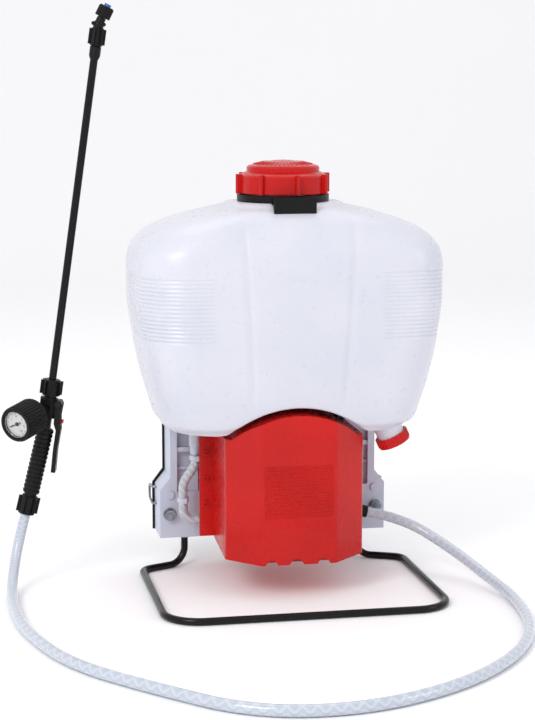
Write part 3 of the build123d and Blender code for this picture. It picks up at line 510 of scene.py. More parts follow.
# Braided clear PVC delivery hose: milky blue-white, glossy outside, yarn diamonds inside the wall.
HOSE_PVC = Braided("braided_clear_pvc_hose", "D2D9E3", "C2CBD7", (0.14, 0.22), 6.0, 0.04, "FFFFFF", 0.0, 0.3,
                   40.0,
                   (("IOR", 1.53), ("Transmission Weight", 0.15), ("Subsurface Weight", 0.3),
                    ("Subsurface Scale", 0.004), ("Coat Weight", 0.5), ("Coat Roughness", 0.06)),
                   length_mm=HOSE_LENGTH_MM, turns=5)
# The short suction hose is the same stuff, greyer because it stands in shade and holds water marks.
SUCTION_PVC = Braided("braided_clear_pvc_suction", "D5D9DF", "BEC5CD", (0.18, 0.28), 5.0, 0.10, "FFFFFF", 0.0,
                      0.3, 40.0,
                      (("IOR", 1.53), ("Transmission Weight", 0.2), ("Subsurface Weight", 0.25),
                       ("Subsurface Scale", 0.004)))
# Battery case: dark grey ABS with a coarse satin texture.
BATTERY_ABS = Finish("grey_abs_battery_case", "3A3D40", "333639", (0.45, 0.58), 1.0, 0.05, "5A5D60", 0.35)
# Wire insulation: soft glossy red PVC.
WIRE_PVC = Finish("red_pvc_wire_sleeve", "8E1512", "7C1010", (0.30, 0.42), 0.8, 0.03, "B04038", 0.2)
# Nylon spacer fabric over foam: open matt weave with a little sheen; thread crowns painted lighter as a
# highlight, gaps painted darker as shade.
SPACER_FABRIC = Woven("black_spacer_fabric_woven", "2B2D30", "101112", (0.70, 0.85), 1.6, 0.25, "35373A", 0.1,
                      0.5, 40.0, (("Sheen Weight", 0.25), ("Sheen Roughness", 0.5)))
# Strap webbing: tight ribbed polyester, satin; rib crowns painted lighter as a highlight, gaps painted darker
# as shade.
WEBBING = Woven("black_polyester_webbing", "232427", "0E0F10", (0.55, 0.7), 1.4, 0.22, "313336", 0.1, 0.4,
                40.0, (("Sheen Weight", 0.2), ("Sheen Roughness", 0.4)))
# Printed dial: matt white enamel on tin plate.
DIAL_PAINT = Finish("white_enamel_dial", "F2F2EE", "ECECE8", (0.45, 0.55), 0.8, 0.01, "FFFFFF", 0.0, 0.2)
# Dial ink: flat dark grey.
DIAL_INK = Finish("grey_dial_ink", "3A3C40", "2E3034", (0.5, 0.6), 0.4, 0.01, "3A3C40", 0.0, 0.1)
# Polycarbonate lens: clear, thin, sharp reflections with fine wipe marks.
LENS = Finish("clear_polycarbonate_lens", "FFFFFF", "FAFCFF", (0.01, 0.05), 1.0, 0.002, "FFFFFF", 0.0, 0.2,
              40.0, (("IOR", 1.30), ("Transmission Weight", 1.0)))
# Needle: satin black paint on pressed tin.
NEEDLE_PAINT = Finish("black_needle_paint", "17181A", "101112", (0.4, 0.5), 0.4, 0.01, "2A2A2C", 0.2, 0.1)
# Acetal spray insert: clean blue, waxy gloss.
BLUE_ACETAL = Finish("blue_acetal_moulded", "2E6FC4", "2866B8", (0.25, 0.35), 0.8, 0.02, "6C9CE0", 0.3, 0.3,
                     20.0, (("Subsurface Weight", 0.1), ("Subsurface Scale", 0.001)))
# Sewing thread: pale grey twisted polyester.
THREAD = Finish("grey_polyester_thread", "8C8F94", "74777C", (0.55, 0.7), 0.3, 0.05, "A0A3A8", 0.1, 0.1)

CAD_FINISHES: tuple[tuple[Finish, tuple[str, ...]], ...] = (
    (POLYETHYLENE, ("tank",)),
    (RED_ABS, ("filler_cap", "drain_cap", "front_housing", "rear_housing", "trigger_lock",
               "housing_screws")),
    (BLACK_NYLON, ("neck_collar", "valve_body", "trigger_lever", "lance_nut", "lance_ferrule", "nozzle_nut",
                   "nozzle_elbow", "nozzle_cap", "hose_nut", "handle_tube", "outlet_gland", "pump_head",
                   "pump_inlet_elbow", "switch_frame", "power_switch", "charge_socket", "pressure_switch",
                   "strap_buckles", "gauge_case", "gauge_stem")),
    (LANCE_TUBE, ("lance_tube",)),
    (WHITE_PP, ("left_bracket", "right_bracket", "hose_clips", "tank_outlet_fitting", "strainer_basket",
                "cap_vent")),
    (POWDER_COAT, ("stand_rod", "back_plate", "lever_pin")),
    (ZINC, ("bracket_bolts", "strap_hooks", "valve_spring")),
    (BRASS, ("valve_stem", "battery_terminals")),
    (MOTOR_CAN, ("pump_motor", "motor_rotor")),
    (RUBBER, ("gauge_boot", "handle_grip", "cap_gasket", "drain_gasket", "pressure_hose")),
    (HOSE_PVC, ("delivery_hose",)),
    (SUCTION_PVC, ("suction_hose",)),
    (BATTERY_ABS, ("battery",)),
    (WIRE_PVC, ("wiring_harness",)),
    (SPACER_FABRIC, ("back_pad", "left_shoulder_strap", "right_shoulder_strap")),
    (DIAL_PAINT, ("gauge_dial",)),
    (LENS, ("gauge_lens",)),
    (NEEDLE_PAINT, ("gauge_needle",)),
    (BLUE_ACETAL, ("nozzle_insert",)),
)


@dataclass
class Wardrobe:
    """Makes each finish once and dresses pieces with it."""

    made: dict[str, bpy.types.Material] = field(default_factory=dict)

    def dress(self, piece: Piece, finish: Finish, body: str) -> Piece:
        """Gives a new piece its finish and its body.

        Args:
            piece: the new piece.
            finish: what it is made of.
            body: the moving body that it rides on.

        Returns:
            The same piece.
        """
        piece.data.materials.clear()
        piece.data.materials.append(self.material(finish))
        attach(piece, body)
        LOG.info("piece %s: %s on body %s", piece.name, finish.name, body)
        return piece

    def material(self, finish: Finish) -> bpy.types.Material:
        """The finish's material, made when it is first asked for."""
        if finish.name not in self.made:
            self.made[finish.name] = finish.make()
        return self.made[finish.name]

    def dress_frame(self, nodes: dict[str, Piece]) -> None:
        """Gives every carried-over node its finish in all its material slots.

        Args:
            nodes: the frame's objects by node name.
        """
        for finish, names in CAD_FINISHES:
            for name in names:
                for slot in nodes[name].material_slots:
                    slot.material = self.material(finish)
                LOG.info("node %s: %s", name, finish.name)


# ---- studio -------------------------------------------------------------------------------------
class LightRole(Enum):
    """What each lamp does, with its place, its size in metres and its power in watts."""

    KEY = ((-1.7, -1.9, 1.9), 1.1, 32.0)
    FILL = ((2.4, -1.5, 1.3), 1.0, 8.0)
    TOP = ((0.1, 0.9, 2.4), 1.6, 8.0)


@dataclass
class Studio:
    """Pale floor that sweeps up behind, soft lamps and the camera."""

    half: float = 6.0
    back: float = 3.2
    sweep: float = 1.2
    sweep_steps: int = 20
    rise: float = 3.0
    surround: str = "FCFCFF"
    surround_strength: float = 0.90
    camera_at: Point = (-0.4575, -2.2541, 0.640)
    pitch: float = 8.861
    yaw: float = -11.0
    lens: float = 92.75
    aim: Point = (0.0, -0.05, 0.25)

    def build(self, wardrobe: Wardrobe) -> None:
        """Builds all of the studio.

        Args:
            wardrobe: gives the floor its finish.
        """
        self.floor(wardrobe)
        self.lamps()
        self.camera()
        LOG.info("studio: floor, lamps and camera")

    def floor(self, wardrobe: Wardrobe) -> None:
        """Floor with a curved rise far behind the object.

        Args:
            wardrobe: gives the floor its finish.
        """
        only()
        bpy.ops.mesh.primitive_plane_add(size=2.0, location=(0, 0, 0))
        bpy.ops.object.mode_set(mode="EDIT")
        bpy.ops.mesh.select_all(action="SELECT")
        bpy.ops.transform.resize(value=(self.half, self.half, 1))
        bpy.ops.mesh.bisect(plane_co=(0, self.back, 0), plane_no=(0, 1, 0), clear_outer=True)
        bpy.ops.mesh.select_all(action="DESELECT")
        bpy.ops.object.mode_set(mode="OBJECT")
        floor = bpy.context.object
        floor.name = "studio_floor"
        for edge in floor.data.edges:
            edge.select = all(floor.data.vertices[i].co.y > self.back - 0.01 for i in edge.vertices)
        bpy.ops.object.mode_set(mode="EDIT")
        bpy.ops.mesh.select_mode(type="EDGE")
        bpy.ops.mesh.spin(steps=self.sweep_steps, angle=math.radians(-90),
                          center=(0, self.back, self.sweep), axis=(1, 0, 0))
        bpy.ops.mesh.extrude_region_move(TRANSFORM_OT_translate={"value": (0, 0, self.rise)})
        bpy.ops.object.mode_set(mode="OBJECT")
        tidy_mesh(floor, 60)
        # Seamless paper: matt and even, so the object's own shades show.
        paper = Finish("matt_paper_backdrop", "FCFCFC", "FBFBFB", (0.85, 0.95), 3.0, 0.02, "F4F4F4", 0.0, 0.5,
                       900.0)
        floor.data.materials.append(wardrobe.material(paper))

    def lamps(self) -> None:
        """Wide soft lamps and an even pale surround."""
        for role in LightRole:
            place, size, power = role.value
            light = bpy.data.lights.new(role.name.lower() + "_lamp", "AREA")
            light.size = size
            light.energy = power
            lamp = bpy.data.objects.new(light.name, light)
            lamp.location = place
            lamp.rotation_euler = (Vector(self.aim) - Vector(place)).to_track_quat("-Z", "Y").to_euler()
            bpy.context.scene.collection.objects.link(lamp)
        world = bpy.data.worlds.new("pale_surround")
        world.use_nodes = True
        sky = world.node_tree.nodes["Background"]
        sky.inputs["Color"].default_value = linear(self.surround)
        sky.inputs["Strength"].default_value = self.surround_strength
        bpy.context.scene.world = world
        bpy.context.scene.view_settings.view_transform = "Standard"

    def camera(self) -> None:
        """Camera a little left of the object and above it, looking slightly down."""
        data = bpy.data.cameras.new("studio_camera")
        data.lens = self.lens
        data.clip_end = 50
        camera = bpy.data.objects.new("studio_camera", data)
        camera.location = self.camera_at
        camera.rotation_euler = (math.radians(90 - self.pitch), 0, math.radians(self.yaw))
        bpy.context.scene.collection.objects.link(camera)
        bpy.context.scene.camera = camera


# ---- delivery hose ------------------------------------------------------------------------------
@dataclass
class DeliveryHose:
    """Free hose from the gland on the housing, round the front on the floor, up to the wand."""

    diameter: float = 0.013
    steps: int = 20
    girth_steps: int = 8
    route: tuple[Point, ...] = (
        (0.118, 0.030, 0.074), (0.166, 0.024, 0.064), (0.216, -0.024, 0.034), (0.246, -0.104, 0.012),
        (0.255, -0.170, 0.007), (0.238, -0.284, 0.007), (0.186, -0.384, 0.007), (0.098, -0.468, 0.007),
        (-0.018, -0.520, 0.007), (-0.132, -0.508, 0.007), (-0.222, -0.414, 0.007), (-0.300, -0.318, 0.007),
        (-0.340, -0.188, 0.007), (-0.346, -0.092, 0.007), (-0.345, -0.034, 0.007), (-0.342, -0.007, 0.0185),
        (-0.337, 0.013, 0.0395), (-0.330, 0.0235, 0.066), (-0.323, 0.022, 0.0942))

    def build(self, wardrobe: Wardrobe) -> Piece:
        """Lays the hose on its route.

        Args:
            wardrobe: gives the hose its finish.

        Returns:
            The hose.
        """
        data = bpy.data.curves.new("delivery_hose_line", "CURVE")
        data.dimensions = "3D"
        spline = data.splines.new("NURBS")
        spline.points.add(len(self.route) - 1)
        for point, place in zip(spline.points, self.route):
            point.co = (*place, 1.0)
        spline.order_u = 3
        spline.use_endpoint_u = True
        spline.resolution_u = self.steps
        data.bevel_depth = self.diameter / 2
        data.bevel_resolution = self.girth_steps
        data.use_fill_caps = True
        hose = bpy.data.objects.new("delivery_hose_visual", data)
        bpy.context.scene.collection.objects.link(hose)
        wardrobe.dress(hose, HOSE_PVC, "frame")
        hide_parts("delivery_hose")
        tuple(self.route[0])
        return hose


# ---- tank ---------------------------------------------------------------------------------------
@dataclass(frozen=True)
class Level:
    """One level of a wrapped shell: height, half width, half depth and corner radius."""

    z: float
    wide: float
    deep: float
    corner: float
    skin: bool = True

    def outline(self, angle: float) -> tuple[float, float]:
        """Point of the rounded outline that a ray meets.

        Args:
            angle: direction of the ray from the middle.

        Returns:
            The point's two distances from the middle.
        """
        if self.wide < 1e-7:
            return (0.0, 0.0)
        c, s = math.cos(angle), math.sin(angle)
        ax, ay = max(abs(c), 1e-9), max(abs(s), 1e-9)
        cx, cy = self.wide - self.corner, self.deep - self.corner
        reach = self.wide / ax
        if reach * ay > cy:
            reach = self.deep / ay
            if reach * ax > cx:
                b = ax * cx + ay * cy
                reach = b + math.sqrt(max(b * b - cx * cx - cy * cy + self.corner ** 2, 0.0))
        return (reach * c, reach * s)


@dataclass
class TankShell:
    """Translucent tank: hollow shell with an arch below, creases, finger flutes and a threaded neck."""

    half_width: float = 0.190
    half_depth: float = 0.111
    bottom: float = 0.204
    height: float = 0.277
    wall: float = 0.003
    corner: float = 0.062
    arch_rise: float = 0.033
    arch_half: float = 0.084
    arch_soft: float = 0.005
    neck: float = 0.047
    bore: float = 0.043
    neck_height: float = 0.026
    thread: float = 0.0488
    thread_starts: tuple[float, ...] = (0.0135, 0.0200)
    columns: int = 420
    form: tuple[Point, ...] = (
        (0.0, .77, .80), (.035, .835, .87), (.11, .87, .91), (.22, .915, .95), (.40, .966, .985),
        (.60, 1.0, 1.0), (.72, 1.0, 1.0), (.79, .985, .985), (.84, .94, .95), (.88, .875, .905),
        (.92, .76, .83), (.96, .58, .70), (1.0, .37, .54))
    floor_shares: tuple[float, ...] = (0, .25, .5, .7, .84, .93, .975)
    bands_mm: tuple[Point, ...] = ((0, 40, 2.5), (40, 113, 4.0), (113, 203, 1.2), (203, 277, 3.0))
    lining_shares: tuple[float, ...] = (.95, .90, .85, .78, .70, .60, .50, .40, .30, .20, .12, .06, .03)
    lining_floor: tuple[float, ...] = (1, .8, .5, .25, 0)
    crease_depth: float = 0.0018
    crease_width: float = 0.0040
    crease_zone: Point = (0.232, 0.478, 0.030)
    crease_foot: tuple[float, float] = (0.058, 0.272)
    crease_lean: tuple[float, float] = (0.010, 0.187)
    flute_zones: tuple[tuple[float, float], ...] = ((0.3190, 0.3985), (0.3190, 0.4030))
    flute_side: Point = (0.102, 1.0, 0.004)
    flute_front: Point = (-0.02, 1.0, 0.004)
    flute_fade: float = 0.002
    flute_pitch: float = 0.00494
    flute_depth: float = 0.0015
    spout_tilt: float = 25.0
    spout_at: Point = (0.113, -0.060, 0.220)
    spout_columns: int = 64
    spout_profile: tuple[tuple[float, float], ...] = (
        (.0130, .004), (.0195, .004), (.0182, .012), (.0172, .020), (.0170, .0355), (.0166, .036),
        (.0134, .036), (.0130, .0355), (.0130, .004))

    def level(self, z: float, inset: float, scale: float = 1.0, skin: bool = True) -> Level:
        """Level of the tank's form.

        Args:
            z: height above the floor.
            inset: how far it is moved in.
            scale: share of its size about the middle.
            skin: whether it is part of the outer skin.

        Returns:
            The level.
        """
        wide, deep = curve_through(self.form, (z - self.bottom) / self.height)
        half_d = deep * self.half_depth - inset
        corner = min(self.corner, 0.9 * half_d)
        half_w = max(wide * self.half_width - inset, corner)
        return Level(z, half_w * scale, half_d * scale, corner * scale, skin)

    def levels(self) -> list[Level]:
        """Levels of the whole wall.

        Returns:
            Levels from the middle of the floor, out, up, through the neck and back down inside.
        """
        top, mouth = self.bottom + self.height, self.bottom + self.height + self.neck_height
        rows = [self.level(self.bottom, 0, share) for share in self.floor_shares]
        for low, high, step in self.bands_mm:
            count = round((high - low) / step)
            rows += [self.level(self.bottom + (low + (high - low) * i / count) * MM, 0) for i in range(count)]
        rows.append(self.level(top, 0))
        neck = [(top + .0004, .0525), (top + .0012, .0498), (top + .0030, .0474), (top + .0130, self.neck)]
        for start in self.thread_starts:
            neck += [(top + start, self.neck), (top + start + .0005, self.thread),
                     (top + start + .0018, self.thread), (top + start + .0024, self.neck)]
        neck += [(mouth - .0006, self.neck), (mouth, self.neck - .0006), (mouth, self.bore + .0006),
                 (mouth - .0006, self.bore), (top - self.wall, self.bore)]
        rows += [Level(z, r, r, r, False) for z, r in neck]
        floor = self.bottom + self.wall
        inner = [top - self.wall - .0001]
        inner += [self.bottom + self.height * share for share in self.lining_shares]
        rows += [self.level(z, self.wall, 1.0, False) for z in inner]
        rows += [self.level(floor, self.wall, share, False) for share in self.lining_floor]
        return rows

    def arch(self, x: float) -> float:
        """Height of the arch under the tank.

        Args:
            x: distance from the middle.

        Returns:
            The height, or 0 outside the arch's circle.
        """
        radius = (self.arch_half ** 2 + self.arch_rise ** 2) / (2 * self.arch_rise)
        centre = self.bottom + self.arch_rise - radius
        return centre + math.sqrt(radius ** 2 - x * x) if abs(x) < radius else 0.0

    def relief(self, x: float, y: float, z: float) -> float:
        """How deep the creases and the finger flutes cut in.

        Args:
            x: place of a point of the skin, across.
            y: the same, from front to back.
            z: the same, upward.

        Returns:
            The depth.
        """
        foot, foot_z = self.crease_foot
        lean, lean_z = self.crease_lean
        centre = foot + lean * (z - foot_z) / lean_z
        crease = math.exp(-((abs(x) - centre) / self.crease_width) ** 2) * window(z, *self.crease_zone)
        depth = self.crease_depth * crease if y < 0 else 0.0
        low, high = self.flute_zones[0 if x < 0 else 1]
        zone = (window(abs(x), *self.flute_side) * window(z, low, high, self.flute_fade)
                * window(-y, *self.flute_front))
        wave = 0.5 - 0.5 * math.cos(2 * math.pi * (z - low) / self.flute_pitch)
        return depth + self.flute_depth * zone * wave

    def build(self, wardrobe: Wardrobe) -> Piece:
        """Makes the tank and its drain spout.

        Args:
            wardrobe: gives the tank its finish.

        Returns:
            The tank shell.
        """
        rows = self.levels()
        lining_from = len(rows) - len(self.lining_shares) - len(self.lining_floor) - 1

        def place(column: int, row: int) -> Point:
            """Point of the shell, lifted over the arch.

            Args:
                column: step round the shell.
                row: number of the level.

            Returns:
                The point.
            """
            level = rows[row]
            x, y = level.outline(2 * math.pi * (column + 0.5) / self.columns)
            reach = math.hypot(x, y)
            if level.skin and reach > 0.05:
                share = 1 - self.relief(x, y, level.z) / reach
                x, y = x * share, y * share
            arch = self.arch(x) + (0.0 if row < lining_from else self.wall)
            z = level.z
            if z < self.bottom + 0.08 and arch > 0.1:
                z = 0.5 * (z + arch + math.sqrt((z - arch) ** 2 + self.arch_soft ** 2))
            return (x, y, z)

        tank = wrapped("tank_shell", self.columns, len(rows) - 1, place, 50)
        wardrobe.dress(tank, POLYETHYLENE, "frame")
        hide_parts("tank")
        self.spout(wardrobe)
        return tank

    def spout(self, wardrobe: Wardrobe) -> Piece:
        """Drain spout with a collar, on the lower right corner.

        Args:
            wardrobe: gives the spout its finish.

        Returns:
            The spout.
        """
        tilt = math.radians(self.spout_tilt)
        axis = Vector((math.sin(tilt), 0, -math.cos(tilt)))
        side = Vector((math.cos(tilt), 0, math.sin(tilt)))
        frame_of = Matrix((side, axis.cross(side), axis)).transposed().to_4x4()
        frame_of.translation = Vector(self.spout_at)
        spout = turned("drain_spout", self.spout_columns, self.spout_profile, frame_of)
        return wardrobe.dress(spout, POLYETHYLENE, "frame")


# ---- filler cap ---------------------------------------------------------------------------------
@dataclass
class CapGrip:
    """Ring of short raised ridges on the cap's dome."""

    ridges: int = 40
    length: float = 0.012
    width: float = 0.0014
    height: float = 0.0012
    radius: float = 0.031
    level: float = 0.5281
    fall: float = 13.2
    edge: float = 0.0003

    def build(self, wardrobe: Wardrobe) -> Piece:
        """Models one ridge and repeats it round the dome.

        Args:
            wardrobe: gives the ridges their finish.

        Returns:
            The ring of ridges.
        """
        ridge = bar((self.length, self.width, self.height), self.edge)
        slope = Matrix.Rotation(math.radians(self.fall), 4, "Y")
        lay = Matrix.Translation((self.radius, 0, self.level)) @ slope
        places = [Matrix.Rotation(2 * math.pi * i / self.ridges, 4, "Z") @ lay for i in range(self.ridges)]
        return wardrobe.dress(copies("cap_grip_ridges", ridge, places), RED_ABS, "cap")


# ---- gauge --------------------------------------------------------------------------------------
@dataclass
class GaugeFace:
    """Printed scale and numbers on the dial, and the lens bezel."""

    turn: float = -11.0
    lean: float = 8.3
    at: Point = (-0.2863, 0.0149, 0.2677)
    axis: Point = (-0.46, -0.84, -0.25)
    along: float = -0.0385
    dial: float = 0.06382
    rim: float = 0.0684
    zero: float = 210.0
    sweep: float = 270.0
    numbers: tuple[str, ...] = ("0", "2", "4", "6", "8", "10")
    number_size: float = 0.0042
    number_radius: float = 0.0096
    ink: float = 0.00003
    minor: int = 50
    minor_size: Point = (0.0018, 0.00022, 0.00006)
    minor_radius: float = 0.0146
    major: int = 10
    major_size: Point = (0.0030, 0.00050, 0.00006)
    major_radius: float = 0.0140
    mark_edge: float = 0.00001
    bezel_columns: int = 72

    def plane(self) -> Matrix:
        """The gauge's own frame.

        Returns:
            A frame with z out of the dial and y near the lance.
        """
        turn, lean = math.radians(self.turn), math.radians(self.lean)
        right, up = Vector((math.cos(turn), math.sin(turn), 0)), Vector((0, 0, 1))
        x = right * math.cos(lean) - up * math.sin(lean)
        z = right * math.sin(lean) + up * math.cos(lean)
        wand = Matrix((x, z.cross(x), z)).transposed().to_4x4()
        wand.translation = Vector(self.at)
        out = Vector(self.axis).normalized()
        side = Vector((0, 0, 1)).cross(out).normalized()
        local = Matrix((side, out.cross(side), out)).transposed().to_4x4()
        local.translation = Vector((0, 0, self.along))
        return wand @ local

    def spoke(self, share: float, radius: float) -> Matrix:
        """Place on the dial, turned to point outward.

        Args:
            share: share of the scale from its zero.
            radius: distance from the dial's middle.

        Returns:
            The place.
        """
        angle = math.radians(self.zero - self.sweep * share)
        spot = Matrix.Translation((radius * math.cos(angle), radius * math.sin(angle), self.dial))
        return self.plane() @ spot @ Matrix.Rotation(angle, 4, "Z")

    def build(self, wardrobe: Wardrobe) -> None:
        """Prints the scale, sets the numbers and fits the bezel.

        Args:
            wardrobe: gives ink and bezel their finishes.
        """
        for name, size, count, radius in (
                ("gauge_fine_marks", self.minor_size, self.minor, self.minor_radius),
                ("gauge_bold_marks", self.major_size, self.major, self.major_radius)):
            places = [self.spoke(i / count, radius) for i in range(count + 1)]
            marks = copies(name, bar(size, self.mark_edge), places)
            wardrobe.dress(marks, DIAL_INK, "frame")
        wardrobe.dress(self.lettering(), DIAL_INK, "frame")
        wardrobe.dress(self.bezel(), BLACK_NYLON, "frame")

    def lettering(self) -> Piece:
        """Numbers of the scale, upright on the dial.

        Returns:
            The numbers as one piece.
        """
        parts = []
        for i, text in enumerate(self.numbers):
            angle = math.radians(self.zero - self.sweep * i / (len(self.numbers) - 1))
            only()
            bpy.ops.object.text_add(location=(0, 0, 0))
            number = bpy.context.object
            number.data.body = text
            number.data.size = self.number_size
            number.data.extrude = self.ink
            number.data.align_x, number.data.align_y = "CENTER", "CENTER"
            bpy.ops.object.convert(target="MESH")
            across, up = self.number_radius * math.cos(angle), self.number_radius * math.sin(angle)
            number.data.transform(self.plane() @ Matrix.Translation((across, up, self.dial)))
            parts.append(number)
        return joined("gauge_numbers", parts)

    def bezel(self) -> Piece:
        """Rounded ring that holds the lens in the case.

        Returns:
            The bezel.
        """
        back = self.rim - .0014
        profile = ((.0168, self.rim - .0006), (.0171, self.rim + .0003), (.0177, self.rim + .0006),
                   (.0181, self.rim), (.0181, back), (.0168, back), (.0168, self.rim - .0006))
        return turned("gauge_bezel", self.bezel_columns, profile, self.plane())


# ---- soft goods ---------------------------------------------------------------------------------
@dataclass
class BackPad:
    """Foam pad on the back plate: swollen panel, sewn channels and piping."""

    inset: float = 0.002
    corner: float = 0.024
    voxel: float = 0.005
    cap: float = 0.006
    channels: tuple[float, ...] = (0.195, 0.250, 0.305)
    channel_depth: float = 0.0045
    channel_width: float = 0.0035
    back_part: float = 0.008
    back_gap: float = 0.0003
    pressure: float = 4.0
    frames: int = 20
    piping: float = 0.0024
    piping_inset: float = 0.003
    piping_gap: float = 0.0004
    piping_rows: int = 240
    piping_columns: int = 12

    def build(self, wardrobe: Wardrobe) -> None:
        """Makes the pad and its piping.

        Args:
            wardrobe: gives both their finishes.
        """
        low, high = (Vector(corner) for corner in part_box("back_pad"))
        pad = self.block(low, high)
        apply_modifier(pad, "REMESH", mode="VOXEL", voxel_size=self.voxel)
        self.inflate(pad)
        for vertex in pad.data.vertices:
            share = sum(math.exp(-((vertex.co.z - z) / self.channel_width) ** 2) for z in self.channels)
            if vertex.co.y > low.y + self.back_part:
                vertex.co.y -= self.channel_depth * share
            vertex.co.y = max(vertex.co.y, low.y + self.back_gap)
        apply_modifier(pad, "SUBSURF", levels=1, render_levels=1)
        tidy_mesh(pad, 180)
        wardrobe.dress(pad, SPACER_FABRIC, "frame")
        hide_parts("back_pad")
        wardrobe.dress(self.cord_edge(low, high), WEBBING, "frame")

    def block(self, low: Vector, high: Vector) -> Piece:
        """Rounded block a little smaller than the finished pad.

        Args:
            low: lowest corner of the pad's box.
            high: highest corner of the pad's box.

        Returns:
            The block.
        """
        middle = (low + high) / 2
        only()
        bpy.ops.mesh.primitive_cube_add(size=1.0, location=(0, 0, 0))
        pad = bpy.context.object
        pad.name = "back_pad_cushion"
        size = (high.x - low.x - 2 * self.inset, high.y - low.y - self.inset, high.z - low.z - 2 * self.inset)
        pad.data.transform(Matrix.Translation(middle) @ Matrix.Diagonal((*size, 1)))
        bpy.ops.object.mode_set(mode="EDIT")
        bpy.ops.mesh.select_all(action="SELECT")
        bpy.ops.mesh.bevel(offset=self.corner, segments=8, affect="EDGES")
        bpy.ops.object.mode_set(mode="OBJECT")
        return pad

    def inflate(self, pad: Piece) -> None:
        """Blows the pad up as cloth, then holds each point near where it was.

        Args:
            pad: the remeshed pad.
        """
        rest = [vertex.co.copy() for vertex in pad.data.vertices]
        only(pad)
        cloth = pad.modifiers.new("Cloth", "CLOTH")
        cloth.settings.use_pressure = True
        cloth.settings.uniform_pressure_force = self.pressure
        cloth.settings.effector_weights.gravity = 0.0
        for step in range(1, self.frames + 1):
            bpy.context.scene.frame_set(step)
        bpy.ops.object.modifier_apply(modifier=cloth.name)
        bpy.context.scene.frame_set(1)
        for vertex, start in zip(pad.data.vertices, rest):
            move = vertex.co - start
            if move.length > self.cap:
                vertex.co = start + move * (self.cap / move.length)

    def cord_edge(self, low: Vector, high: Vector) -> Piece:
        """Piping round the pad where its cover meets the plate.

        Args:
            low: lowest corner of the pad's box.
            high: highest corner of the pad's box.

        Returns:
            The piping.
        """
        middle = (low + high) / 2
        inset = self.piping_inset
        edge = Level(0, (high.x - low.x) / 2 - inset, (high.z - low.z) / 2 - inset, self.corner)
        rows, columns = self.piping_rows, self.piping_columns

        def place(column: int, row: int) -> Point:
            """Point of the piping.

            Args:
                column: step round the cord inside it.
                row: step round the pad.

            Returns:
                The point.
            """
            angle = 2 * math.pi * (row % rows) / rows
            x, z = edge.outline(angle)
            out = Vector((x, 0, z)).normalized()
            girth = 2 * math.pi * column / columns
            centre = Vector((middle.x + x, low.y + self.piping + self.piping_gap, middle.z + z))
            return tuple(centre + self.piping * (math.cos(girth) * out + Vector((0, math.sin(girth), 0))))

        return wrapped("back_pad_piping", columns, rows, place, 60)


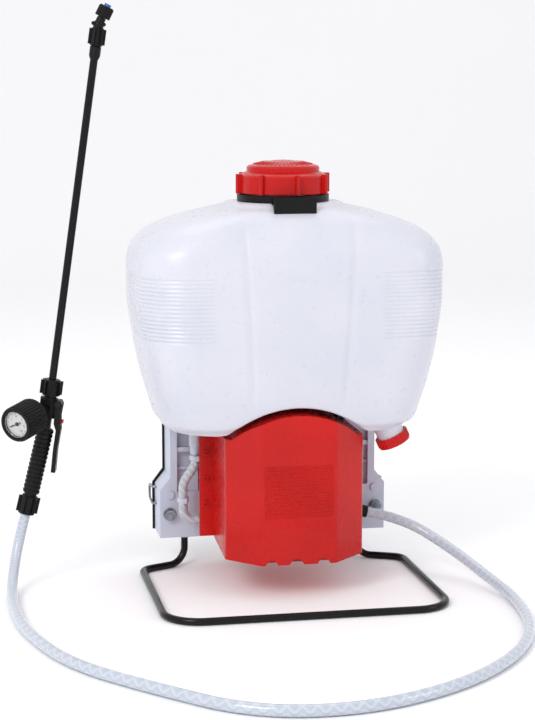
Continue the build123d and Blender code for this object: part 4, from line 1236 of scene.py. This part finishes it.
@dataclass
class ShoulderStrap:
    """Padded strap that hangs from its slot behind the pad down to its buckle."""

    side: str
    middle: float
    half: float = 0.025
    flange: float = 0.0012
    columns: int = 48
    rows: int = 110
    path: tuple[tuple[float, float, float, float], ...] = (
        (0.00, .1168, .3985, .0014), (0.04, .1230, .3987, .0014), (0.08, .1300, .3975, .0016),
        (0.12, .1372, .3940, .0026), (0.17, .1435, .3865, .0040), (0.24, .1476, .3720, .0050),
        (0.32, .1493, .3520, .0054), (0.42, .1499, .3300, .0055), (0.62, .1493, .2800, .0050),
        (0.82, .1487, .2300, .0042), (0.93, .1476, .2000, .0030), (1.00, .1457, .1796, .0014))
    channels: tuple[float, ...] = (0.30, 0.42, 0.54, 0.66, 0.78)
    channel_width: float = 0.009
    channel_pull: float = 0.55
    crowned: float = 0.86
    stitches: int = 58
    stitch_from: float = 0.10
    stitch_run: float = 0.86
    stitch_across: float = 0.92
    stitch_size: Point = (0.0006, 0.0005, 0.0028)
    stitch_edge: float = 0.00015

    def spine(self, share: float) -> tuple[Vector, Vector, float]:
        """Course of the strap.

        Args:
            share: share of its length from the top.

        Returns:
            Its middle, the way its face looks and its half thickness.
        """
        y, z, thick = curve_through(self.path, share)
        ahead = curve_through(self.path, min(share + 0.01, 1.0))
        behind = curve_through(self.path, max(share - 0.01, 0.0))
        run = Vector((0, ahead[0] - behind[0], ahead[1] - behind[1])).normalized()
        return Vector((self.middle, y, z)), Vector((0, -run.z, run.y)), thick

    def build(self, wardrobe: Wardrobe) -> None:
        """Makes the padded strap and its stitching.

        Args:
            wardrobe: gives fabric and thread their finishes.
        """

        def place(column: int, row: int) -> Point:
            """Point of the strap: a crowned pad between thin sewn edges.

            Args:
                column: step round the strap.
                row: step along it.

            Returns:
                The point.
            """
            share = row / self.rows
            spine, face, thick = self.spine(share)
            angle = 2 * math.pi * column / self.columns
            across = math.copysign(abs(math.cos(angle)) ** 0.6, math.cos(angle))
            crown = max(1 - abs(across / self.crowned) ** 3, 0.0) ** 0.6
            sewn = sum(math.exp(-((share - at) / self.channel_width) ** 2) for at in self.channels)
            swell = max(thick - self.flange, 0) * crown * (1 - self.channel_pull * min(sewn, 1.0))
            edge = self.flange * min(1.0, abs(math.sin(angle)) * 3)
            lift = math.copysign(edge + swell, math.sin(angle)) if row not in (0, self.rows) else 0.0
            return tuple(spine + Vector((self.half * across, 0, 0)) + face * lift)

        strap = wrapped(self.side + "_strap_pad", self.columns, self.rows, place, 180)
        wardrobe.dress(strap, SPACER_FABRIC, "frame")
        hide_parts(self.side + "_shoulder_strap")
        stitch = bar(self.stitch_size, self.stitch_edge)
        places = []
        for i in range(self.stitches):
            spine, face, _ = self.spine(self.stitch_from + self.stitch_run * i / (self.stitches - 1))
            turn = face.to_track_quat("Y", "Z").to_matrix().to_4x4()
            for edge in (-self.stitch_across, self.stitch_across):
                for way in (-1, 1):
                    spot = spine + Vector((self.half * edge, 0, 0)) + face * way * (self.flange + 0.0001)
                    places.append(Matrix.Translation(spot) @ turn)
        wardrobe.dress(copies(self.side + "_strap_stitches", stitch, places), THREAD, "frame")


def main() -> None:
    """Builds the studio, then each sub-assembly, then dresses the frame."""
    logging.basicConfig(level=logging.INFO, format="%(name)s: %(message)s")
    only()
    wardrobe = Wardrobe()
    Studio().build(wardrobe)
    DeliveryHose().build(wardrobe)
    TankShell().build(wardrobe)
    CapGrip().build(wardrobe)
    GaugeFace().build(wardrobe)
    BackPad().build(wardrobe)
    for side, middle in (("left", -0.062), ("right", 0.062)):
        ShoulderStrap(side, middle).build(wardrobe)
    wardrobe.dress_frame(frame["nodes"])


if __name__ == "__main__":
    main()
